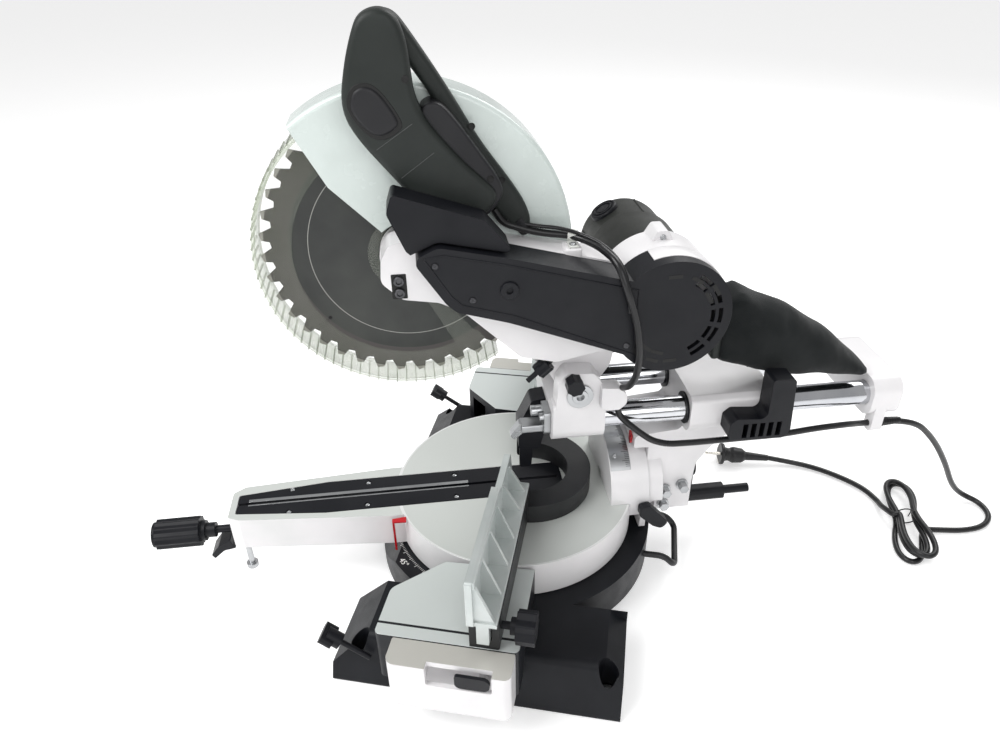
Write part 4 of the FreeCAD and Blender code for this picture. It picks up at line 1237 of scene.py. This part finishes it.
@dataclass
class DHandle:
    """D-handle of three moulded limbs, rounded all round, with its lever, seams and screw wells; the light
    grey seams are painted highlights, and the dark screw wells and lever gap are painted shade.
    """

    near: tuple[tuple[float, float], ...] = ((-104.1, 672.5), (-119.1, 678.5), (-136.0, 672.5),
                                             (-143.5, 657.0), (-151.5, 633.0),
                                             (-158.5, 600.4), (-150.5, 574.8), (-114.9, 529.5),
                                             (-92.0, 500.0), (-71.5, 471.5),
                                             (-66.0, 472.5), (-36.3, 488.5), (-17.5, 511.4), (-36.0, 530.0),
                                             (-56.0, 549.0),
                                             (-92.0, 593.6), (-95.2, 635.7), (-97.0, 652.4))
    web: tuple[tuple[float, float], ...] = ((-94.4, 591.6), (-74.3, 602.2), (-57.4, 583.1), (-36.6, 552.2),
                                            (-15.6, 521.6),
                                            (-15.8, 506.8), (-34.8, 484.7), (-55.2, 508.1), (-73.9, 547.5))
    far: tuple[tuple[float, float], ...] = ((-119.8, 675.0), (-105.6, 672.4), (-94.0, 656.9),
                                            (-63.0, 608.5), (-33.9, 555.9),
                                            (-4.8, 516.6), (13.0, 487.0), (14.5, 468.0), (2.8, 461.3),
                                            (-20.2, 484.9),
                                            (-61.1, 541.9), (-74.9, 594.8), (-88.7, 616.9), (-99.1, 631.6),
                                            (-110.0, 649.1))
    lever: tuple[tuple[float, float], ...] = ((-150.8, 595.0), (-147.8, 611.5), (-138.0, 617.5),
                                              (-125.3, 614.5), (-109.4, 590.0),
                                              (-108.3, 580.5), (-130.0, 569.9))

    def limb(self, name: str, outline: Sequence[tuple[float, float]], low: float, high: float,
             rounding: float,
             finish: Finish) -> bpy.types.Object:
        """Build one rounded limb from its outline.

        Args:
            name: the piece's name.
            outline: (y, z) control points of its smooth outline, in millimetres.
            low: its inner side.
            high: its outer side.
            rounding: radius of its edges.
            finish: its finish.

        Returns:
            The object.
        """
        curve = bpy.data.curves.new(name + "_line", "CURVE")
        curve.dimensions = "2D"
        curve.fill_mode = "BOTH"
        spline = curve.splines.new("NURBS")
        spline.points.add(len(outline) - 1)
        for point, (y, z) in zip(spline.points, outline):
            point.co = (y, z, 0.0, 1.0)
        spline.order_u = 3
        spline.use_cyclic_u = True
        spline.resolution_u = 6
        curve.extrude = (high - low) / 2 - rounding
        curve.bevel_depth = rounding
        curve.bevel_resolution = 4
        curve.offset = -rounding
        holder = bpy.data.objects.new(name + "_line", curve)
        mesh = bpy.data.meshes.new_from_object(holder)
        bpy.data.objects.remove(holder)
        stand = Matrix(((0, 0, 1, (low + high) / 2), (1, 0, 0, 0), (0, 1, 0, 0), (0, 0, 0, 1)))
        bm = bmesh.new()
        bm.from_mesh(mesh)
        bpy.data.meshes.remove(mesh)
        bm.transform(stand)
        return settle(bm, name, finish, "head", Side.TABLE, 40.0)

    def build(self) -> None:
        """Build the limbs, which stand for the two plain halves, and their details."""
        near = self.limb("handle_near_limb", self.near, 36.0, 61.0, 7.0, GRIP)
        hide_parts("handle_outer", "handle_inner")
        self.limb("handle_web", self.web, 22.0, 54.0, 3.0, SHELL)
        self.limb("handle_far_limb", self.far, 19.4, 38.5, 6.0, GRIP)
        # A dark outline a little larger than the lever sits behind it: painted shade in the gap round the
        # lever.
        middle = (sum(y for y, _ in self.lever) / len(self.lever),
                  sum(z for _, z in self.lever) / len(self.lever))
        gap = [(middle[0] + (y - middle[0]) * 1.16, middle[1] + (z - middle[1]) * 1.16) for y,
               z in self.lever]
        self.limb("handle_lever_gap", gap, 40.0, 61.5, 1.0, INK_AND_SHADE)
        self.limb("handle_lock_lever", self.lever, 38.0, 63.4, 3.5, SHELL)
        # Seam lines in light grey: painted highlights along the handle's edges.
        seams = bmesh.new()
        for start, end in (((-130.5, 561.5), (-97.0, 583.0)), ((-110.5, 534.5), (-79.0, 556.5))):
            add_tube(seams, [(60.9, *start), (60.9, *end)], 0.35, 8)
        settle(seams, "handle_seam_highlights", SEAM_HIGHLIGHT, "head", Side.TABLE)
        wells = [(54.0, -46.4, 521.0), (54.0, -27.3, 527.1), (38.4, -42.2, 572.5), (38.4, -14.6, 520.1),
                 (61.0, -100.0, 621.0)]
        # Dark discs in the screw wells: painted shade in the holes.
        holes = bmesh.new()
        for spot in wells:
            add_turned(holes, placed(spot, (1, 0, 0)),
                       [(0, 0.15), (2.2, 0.15), (3.0, 0.5), (3.3, 0.3), (3.3, -0.5), (0, -0.5)], 28)
        settle(holes, "handle_screw_wells", INK_AND_SHADE, "head", Side.TABLE)
        boot = bmesh.new()
        add_turned(boot, placed((30.0, 2.0, 478.0), (0.1, 0.5, -0.86)),
                   [(0, 0), (9.5, 0), (8.6, 8), (6.4, 17), (5.2, 18), (0, 18)], 36)
        settle(boot, "handle_cable_boot", SHELL, "head", Side.TABLE)


# ---- Carriage ---------------------------------------------------------------------------------


@dataclass
class RailTrim:
    """Seals and end screws of the two slide rails."""

    rails: tuple[float, ...] = (-40.0, 40.0)
    height: float = 232.0
    radius: float = 15.0

    def build(self) -> None:
        """Build seals at the slide housing, and screws in the brackets."""
        seals = bmesh.new()
        for x in self.rails:
            for y in (197.6, 300.0):
                inner, outer = self.radius + 0.15, self.radius + 4.5
                lip = [(inner, 0), (outer, 0), (outer - 0.5, 2.4), (inner, 2.4), (inner, 0)]
                add_turned(seals, placed((x, y, self.height), (0, 1, 0)), lip, 48)
        settle(seals, "rail_seals", PLASTIC, "tilt_arm", Side.TABLE)
        group = [Screw((x, 461.0, self.height), (0, 1, 0), 4.2, 2.4, Drive.HEX_SOCKET) for x in self.rails]
        group.append(Screw((54.0, 439.0, 205.6), (0, 0, 1), 3.6, 2.0))
        screws("rail_cap_screws", group, "carriage", Side.TABLE)


# ---- Dust bag ---------------------------------------------------------------------------------


@dataclass
class DustBag:
    """Sewn cloth bag, blown up slightly by a cloth simulation, with its collar and zip."""

    outline: tuple[tuple[float, float], ...] = ((226.0, 299.0), (226.0, 369.0), (249.0, 381.0),
                                                (330.0, 340.0), (372.0, 309.0),
                                                (421.0, 267.0), (417.0, 259.5), (330.0, 268.0),
                                                (277.0, 280.0))
    low: float = -2.0
    high: float = 54.0
    voxel: float = 0.0048
    pinned: float = 238.0
    cap: float = 0.006
    frames: int = 20
    pressure: float = 4.0

    def shell(self) -> bpy.types.Object:
        """Build the flat-sided start shape and remesh it evenly.

        Returns:
            The start object, in metres.
        """
        bm = bmesh.new()
        add_plate(bm, [(self.low, y, z) for y, z in self.outline], (self.high - self.low, 0, 0))
        edges = [edge for edge in bm.edges if abs(edge.verts[0].co.x - edge.verts[1].co.x) < 1]
        bmesh.ops.bevel(bm, geom=edges, offset=11.0, segments=3, profile=0.5, affect="EDGES", material=-1)
        bm.transform(axes(Side.TABLE))
        bmesh.ops.recalc_face_normals(bm, faces=bm.faces)
        mesh = bpy.data.meshes.new("dust_bag_start")
        bm.to_mesh(mesh)
        bm.free()
        start = bpy.data.objects.new("dust_bag_cloth", mesh)
        bpy.context.scene.collection.objects.link(start)
        remesh = start.modifiers.new("even", "REMESH")
        remesh.mode = "VOXEL"
        remesh.voxel_size = self.voxel
        return self.baked(start)

    def baked(self, piece: bpy.types.Object) -> bpy.types.Object:
        """Apply a piece's modifiers.

        Args:
            piece: the object.

        Returns:
            The same object with its evaluated mesh.
        """
        graph = bpy.context.evaluated_depsgraph_get()
        mesh = bpy.data.meshes.new_from_object(piece.evaluated_get(graph))
        piece.modifiers.clear()
        piece.data = mesh
        return piece

    def blow_up(self, piece: bpy.types.Object) -> None:
        """Swell the cloth by pressure and cap how far each point moves.

        Args:
            piece: the even shell, changed in place.
        """
        rest = [vert.co.copy() for vert in piece.data.vertices]
        back = axes(Side.TABLE).inverted()
        group = piece.vertex_groups.new(name="collar")
        group.add([vert.index for vert in piece.data.vertices if (back @ vert.co).y < self.pinned], 1.0,
                  "REPLACE")
        cloth = piece.modifiers.new("cloth", "CLOTH")
        cloth.settings.vertex_group_mass = "collar"
        cloth.settings.use_pressure = True
        cloth.settings.uniform_pressure_force = self.pressure
        cloth.settings.bending_stiffness = 0.35
        cloth.settings.effector_weights.gravity = 0.0
        scene = bpy.context.scene
        scene.frame_start, scene.frame_end = 1, self.frames
        for frame_number in range(1, self.frames + 1):
            scene.frame_set(frame_number)
        self.baked(piece)
        for vert, start in zip(piece.data.vertices, rest):
            moved = vert.co - start
            if moved.length > self.cap:
                vert.co = start + moved.normalized() * self.cap
        scene.frame_set(1)

    def crease(self, piece: bpy.types.Object) -> None:
        """Add the soft folds that hang from the top seam.

        Args:
            piece: the swollen cloth, changed in place.
        """
        bm = bmesh.new()
        bm.from_mesh(piece.data)
        bm.normal_update()
        back = axes(Side.TABLE).inverted()
        for vert in bm.verts:
            spot = back @ vert.co
            away = min(1.0, max(0.0, (spot.y - self.pinned) / 30.0)) * min(1.0,
                                                                           max(0.0, (425.0 - spot.y) / 40.0))
            fold = math.sin(spot.y * 0.145 + spot.z * 0.06 + 0.8 * math.sin(spot.z * 0.05)) * 0.5
            fold += math.sin(spot.y * 0.05 - spot.z * 0.08 + 1.7) * 0.9
            vert.co += vert.normal * (fold * away * MM)
        for _ in range(2):
            bmesh.ops.smooth_vert(bm, verts=bm.verts, factor=0.4, use_axis_x=True, use_axis_y=True,
                                  use_axis_z=True)
        bm.to_mesh(piece.data)
        bm.free()

    def build(self) -> bpy.types.Object:
        """Build the bag, then its collar and zip.

        Returns:
            The bag.
        """
        bag = self.shell()
        self.blow_up(bag)
        self.crease(bag)
        smooth = bag.modifiers.new("smooth", "SUBSURF")
        smooth.levels = smooth.render_levels = 1
        self.baked(bag)
        bag.name = "dust_bag_cloth"
        bag.data.name = "dust_bag_cloth"
        bag.data.polygons.foreach_set("use_smooth", [True] * len(bag.data.polygons))
        bag.data.materials.clear()
        bag.data.materials.append(CLOTH.make())
        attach(bag, "head")
        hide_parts("dust_bag")
        LOG.info("piece %-26s rides on head %d faces", bag.name, len(bag.data.polygons))
        self.trim()
        return bag

    def trim(self) -> None:
        """Build the rubber collar on the dust port and the zip along the underside."""
        middle = (self.low + self.high) / 2
        collar = bmesh.new()
        add_block(collar, (self.low + 3, 219.0, 302.0), (self.high - 3, 229.5, 366.0), 4.0)
        settle(collar, "dust_bag_collar", GRIP, "head", Side.TABLE)
        zipper = bmesh.new()
        path = [(276.0, 277.2), (300.0, 272.3), (330.0, 266.9), (370.0, 266.0), (404.0, 265.3)]
        for (y0, z0), (y1, z1) in zip(path, path[1:]):
            count = max(2, int((y1 - y0) / 2.4))
            for step in range(count):
                share = step / count
                y, z = y0 + (y1 - y0) * share, z0 + (z1 - z0) * share
                add_bar(zipper, Matrix.Identity(4), (middle, y, z - 2.4), (4.6, 1.3, 1.6))
        settle(zipper, "dust_bag_zip", DARK_STEEL, "head", Side.TABLE)


# ---- Cords ------------------------------------------------------------------------------------


@dataclass
class MainsCord:
    """The free mains cord: run to the bench, loose tied turns and the lead to its plug."""

    diameter: float = 7.5
    run: tuple[Point, ...] = ((-79.82, 442.31, 195), (-92.99, 485.03, 195), (-118, 528, 150),
                              (-146, 566, 92), (-170, 594, 40),
                              (-188, 620, 9), (-178, 645, 4.2), (-151, 650, 4), (-127, 634, 4),
                              (-114, 604, 4), (-110, 570, 4))
    lead: tuple[Point, ...] = ((-158, 503, 4), (-184, 489, 4), (-206, 459, 4), (-223, 424, 4),
                               (-229, 386, 5.5), (-226.5, 357, 10.5))
    middle: tuple[float, float] = (-122.0, 530.0)
    half: float = 83.0
    tilt: float = -3.5
    start: float = 60.0
    end: float = -810.0
    climb: tuple[tuple[float, float], ...] = ((-200, 4.0), (-270, 12.2), (-560, 12.2), (-630, 19.6),
                                              (-900, 19.6))

    def lift(self, phase: float) -> float:
        """Height of the cord at a phase of its turns, where one turn climbs over another.

        Args:
            phase: angle along the turns in degrees.

        Returns:
            The height in millimetres.
        """
        z = self.run[-1][2]
        for (p0, z0), (p1, z1) in zip(self.climb, self.climb[1:]):
            if p1 <= phase <= p0:
                z = z0 + (z1 - z0) * (p0 - phase) / (p0 - p1)
        return z

    def turns(self) -> list[Point]:
        """Work out the loose turns, flatter at the tied waist and wider at the ends.

        Returns:
            Their control points.
        """
        points: list[Point] = []
        step = -30.0
        count = int((self.end - self.start) / step)
        for index in range(count + 1):
            phase = self.start + step * index
            whole = min(2, int((self.start - phase) // 360))
            turn = math.radians((-4.0, 3.0, 7.0)[whole] + self.tilt)
            size = (1.0, 0.93, 1.03)[whole]
            along = math.cos(math.radians(phase)) * self.half * size
            across = math.sin(math.radians(phase)) * (9.0 + 22.0 * abs(along) / self.half) * size
            x = self.middle[0] + along * math.cos(turn) - across * math.sin(turn)
            y = self.middle[1] + along * math.sin(turn) + across * math.cos(turn)
            points.append((x, y, self.lift(phase)))
        return points

    def build(self) -> bpy.types.Object:
        """Build the cord as one smooth line, with its tie and its strain relief.

        Returns:
            The cord.
        """
        entry = [(-108, 553, 4), (-96, 546, 4)]
        leave = [(-114, 512, 18), (-130, 505.5, 14), (-145, 502.5, 8)]
        route = [*self.run, *entry, *self.turns(), *leave, *self.lead]
        curve = bpy.data.curves.new("mains_cord", "CURVE")
        curve.dimensions = "3D"
        spline = curve.splines.new("NURBS")
        spline.points.add(len(route) - 1)
        for point, spot in zip(spline.points, route):
            point.co = (*(value * MM for value in spot), 1.0)
        spline.order_u = 3
        spline.use_endpoint_u = True
        spline.resolution_u = 8
        curve.bevel_depth = self.diameter / 2 * MM
        curve.bevel_resolution = 5
        curve.use_fill_caps = True
        curve.materials.append(CORD.make())
        cord = bpy.data.objects.new("mains_cord", curve)
        bpy.context.scene.collection.objects.link(cord)
        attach(cord, "carriage")
        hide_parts("cord_run", "cord_bundle", "cord_lead")
        LOG.info("piece mains_cord rides on carriage, %d control points", len(route))
        self.tie()
        self.reliefs()
        return cord

    def tie(self) -> None:
        """Build the thin wire tie round the waist of the turns."""
        bm = bmesh.new()
        x, y = self.middle
        ring = [(x + 1.2 * math.sin(3 * turn), y + 17.5 * math.cos(turn), 12.6 + 11.7 * math.sin(turn))
                for turn in (math.tau * step / 28 for step in range(29))]
        add_tube(bm, ring, 0.9, 10)
        add_tube(bm, [(x, y + 3, 24.6), (x + 7, y + 1, 27.0), (x + 15, y - 4, 25.5)], 0.8, 10)
        settle(bm, "cord_tie", CORD, "carriage", Side.BASE)

    def reliefs(self) -> None:
        """Build the tapered sleeve where the cord leaves the rail cap."""
        bm = bmesh.new()
        start, onward = Vector(self.run[0]), Vector(self.run[1])
        ahead = (onward - start).normalized()
        profile = [(3.9, 0.0), (6.4, 0.0), (6.4, 3.0), (5.4, 4.2)]
        for step in range(6):
            base = 6.0 + step * 3.4
            wide = 5.5 - step * 0.22
            profile += [(wide, base), (wide, base + 1.8), (wide - 0.6, base + 2.1), (wide - 0.6, base + 3.2)]
        profile += [(3.9, 27.5), (3.9, 0.0)]
        add_turned(bm, placed(start, ahead), profile, 32)
        settle(bm, "cord_relief", CORD, "carriage", Side.BASE)


@dataclass
class ControlLead:
    """Thin second lead from the handle through the clip to the motor."""

    route: tuple[Point, ...] = ((36, -10, 478.5), (37, 12, 471.5), (40, 45, 468), (50, 66, 463),
                                (72, 84, 459), (98, 96, 448), (104, 101, 425),
                                (104, 104, 400))
    radius: float = 2.0

    def build(self) -> None:
        """Build the lead as one smooth line."""
        curve = bpy.data.curves.new("control_lead", "CURVE")
        curve.dimensions = "3D"
        spline = curve.splines.new("NURBS")
        spline.points.add(len(self.route) - 1)
        place = axes(Side.TABLE)
        for point, spot in zip(spline.points, self.route):
            point.co = (*(place @ Vector(spot)), 1.0)
        spline.order_u = 3
        spline.use_endpoint_u = True
        curve.bevel_depth = self.radius * MM
        curve.bevel_resolution = 4
        curve.use_fill_caps = True
        curve.materials.append(CORD.make())
        lead = bpy.data.objects.new("control_lead", curve)
        bpy.context.scene.collection.objects.link(lead)
        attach(lead, "head")
        LOG.info("piece control_lead rides on head")


# ---- Studio -----------------------------------------------------------------------------------


@dataclass
class Studio:
    """Pale floor, soft light and the camera."""

    azimuth: float = 1.7609834
    elevation: float = 0.5694602
    roll: float = -0.0199484
    distance: float = 0.9141362
    target: Point = (0.0000026, -0.0163978, 0.2688382)
    lens: float = 27.635
    floor_half: float = 30.0

    def camera(self) -> None:
        """Place the camera and make it the scene's own."""
        flat = math.cos(self.elevation)
        back = Vector((math.sin(self.azimuth) * flat, -math.cos(self.azimuth) * flat,
                       math.sin(self.elevation)))
        right = Vector((0, 0, 1)).cross(back).normalized()
        up = back.cross(right)
        turned_right = math.cos(self.roll) * right + math.sin(self.roll) * up
        turned_up = -math.sin(self.roll) * right + math.cos(self.roll) * up
        data = bpy.data.cameras.new("camera")
        data.lens = self.lens
        data.sensor_width = 36.0
        data.clip_start = 0.02
        camera = bpy.data.objects.new("camera", data)
        pose = Matrix((turned_right, turned_up, back)).transposed().to_4x4()
        pose.translation = Vector(self.target) + back * self.distance
        camera.matrix_world = pose
        bpy.context.scene.collection.objects.link(camera)
        bpy.context.scene.camera = camera

    def lamp(self, name: str, spot: Point, size: float, power: float) -> None:
        """Add one square soft lamp that looks at the saw.

        Args:
            name: the lamp's name.
            spot: its place in metres.
            size: its side.
            power: its power in watts.
        """
        data = bpy.data.lights.new(name, "AREA")
        data.size = size
        data.energy = power
        lamp = bpy.data.objects.new(name, data)
        lamp.matrix_world = placed(spot, Vector(spot) - Vector((0, 0, 0.2)))
        bpy.context.scene.collection.objects.link(lamp)

    def floor(self) -> None:
        """Lay the pale floor just under the feet."""
        bm = bmesh.new()
        bmesh.ops.create_grid(bm, x_segments=2, y_segments=2, size=self.floor_half,
                              matrix=Matrix.Translation((0, 0, -0.0004)))
        mesh = bpy.data.meshes.new("floor")
        bm.to_mesh(mesh)
        bm.free()
        floor = bpy.data.objects.new("floor", mesh)
        bpy.context.scene.collection.objects.link(floor)
        paper = Finish("studio_paper", "", (0.86, 0.86, 0.86), (0.85, 0.85, 0.85), 0.9, grain=Grain.SMOOTH,
                       relief=0.02, edge=0.0,
                       glow=0.42)
        mesh.materials.append(paper.make())

    def build(self) -> None:
        """Build the floor, the light and the camera."""
        self.floor()
        self.camera()
        world = bpy.data.worlds.new("studio")
        world.use_nodes = True
        world.node_tree.nodes["Background"].inputs["Color"].default_value = (1.0, 1.0, 1.0, 1.0)
        world.node_tree.nodes["Background"].inputs["Strength"].default_value = 0.5
        bpy.context.scene.world = world
        self.lamp("key", (1.0, -1.3, 2.1), 1.4, 46.0)
        self.lamp("fill", (1.9, 0.9, 1.3), 1.2, 12.0)
        self.lamp("rim", (-1.5, 0.8, 1.9), 1.4, 26.0)
        bpy.context.scene.view_settings.view_transform = "Standard"


def main() -> None:
    """Dress the frame, build every piece in order, and light it."""
    logging.basicConfig(level=logging.INFO, format="%(message)s")
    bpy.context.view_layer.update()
    dress_nodes()
    for part in (MitreScale(), BevelScale(), BaseTrim(), TableTrim(), BladeDetail(), GuardRibs(),
                 MotorDetail(), CoverDetail(),
                 CableClip(), DHandle(), ArborHousing(), RailTrim(), DustBag(), MainsCord(), ControlLead(),
                 Studio()):
        LOG.info("building %s", type(part).__name__)
        part.build()


if __name__ == "__main__":
    main()
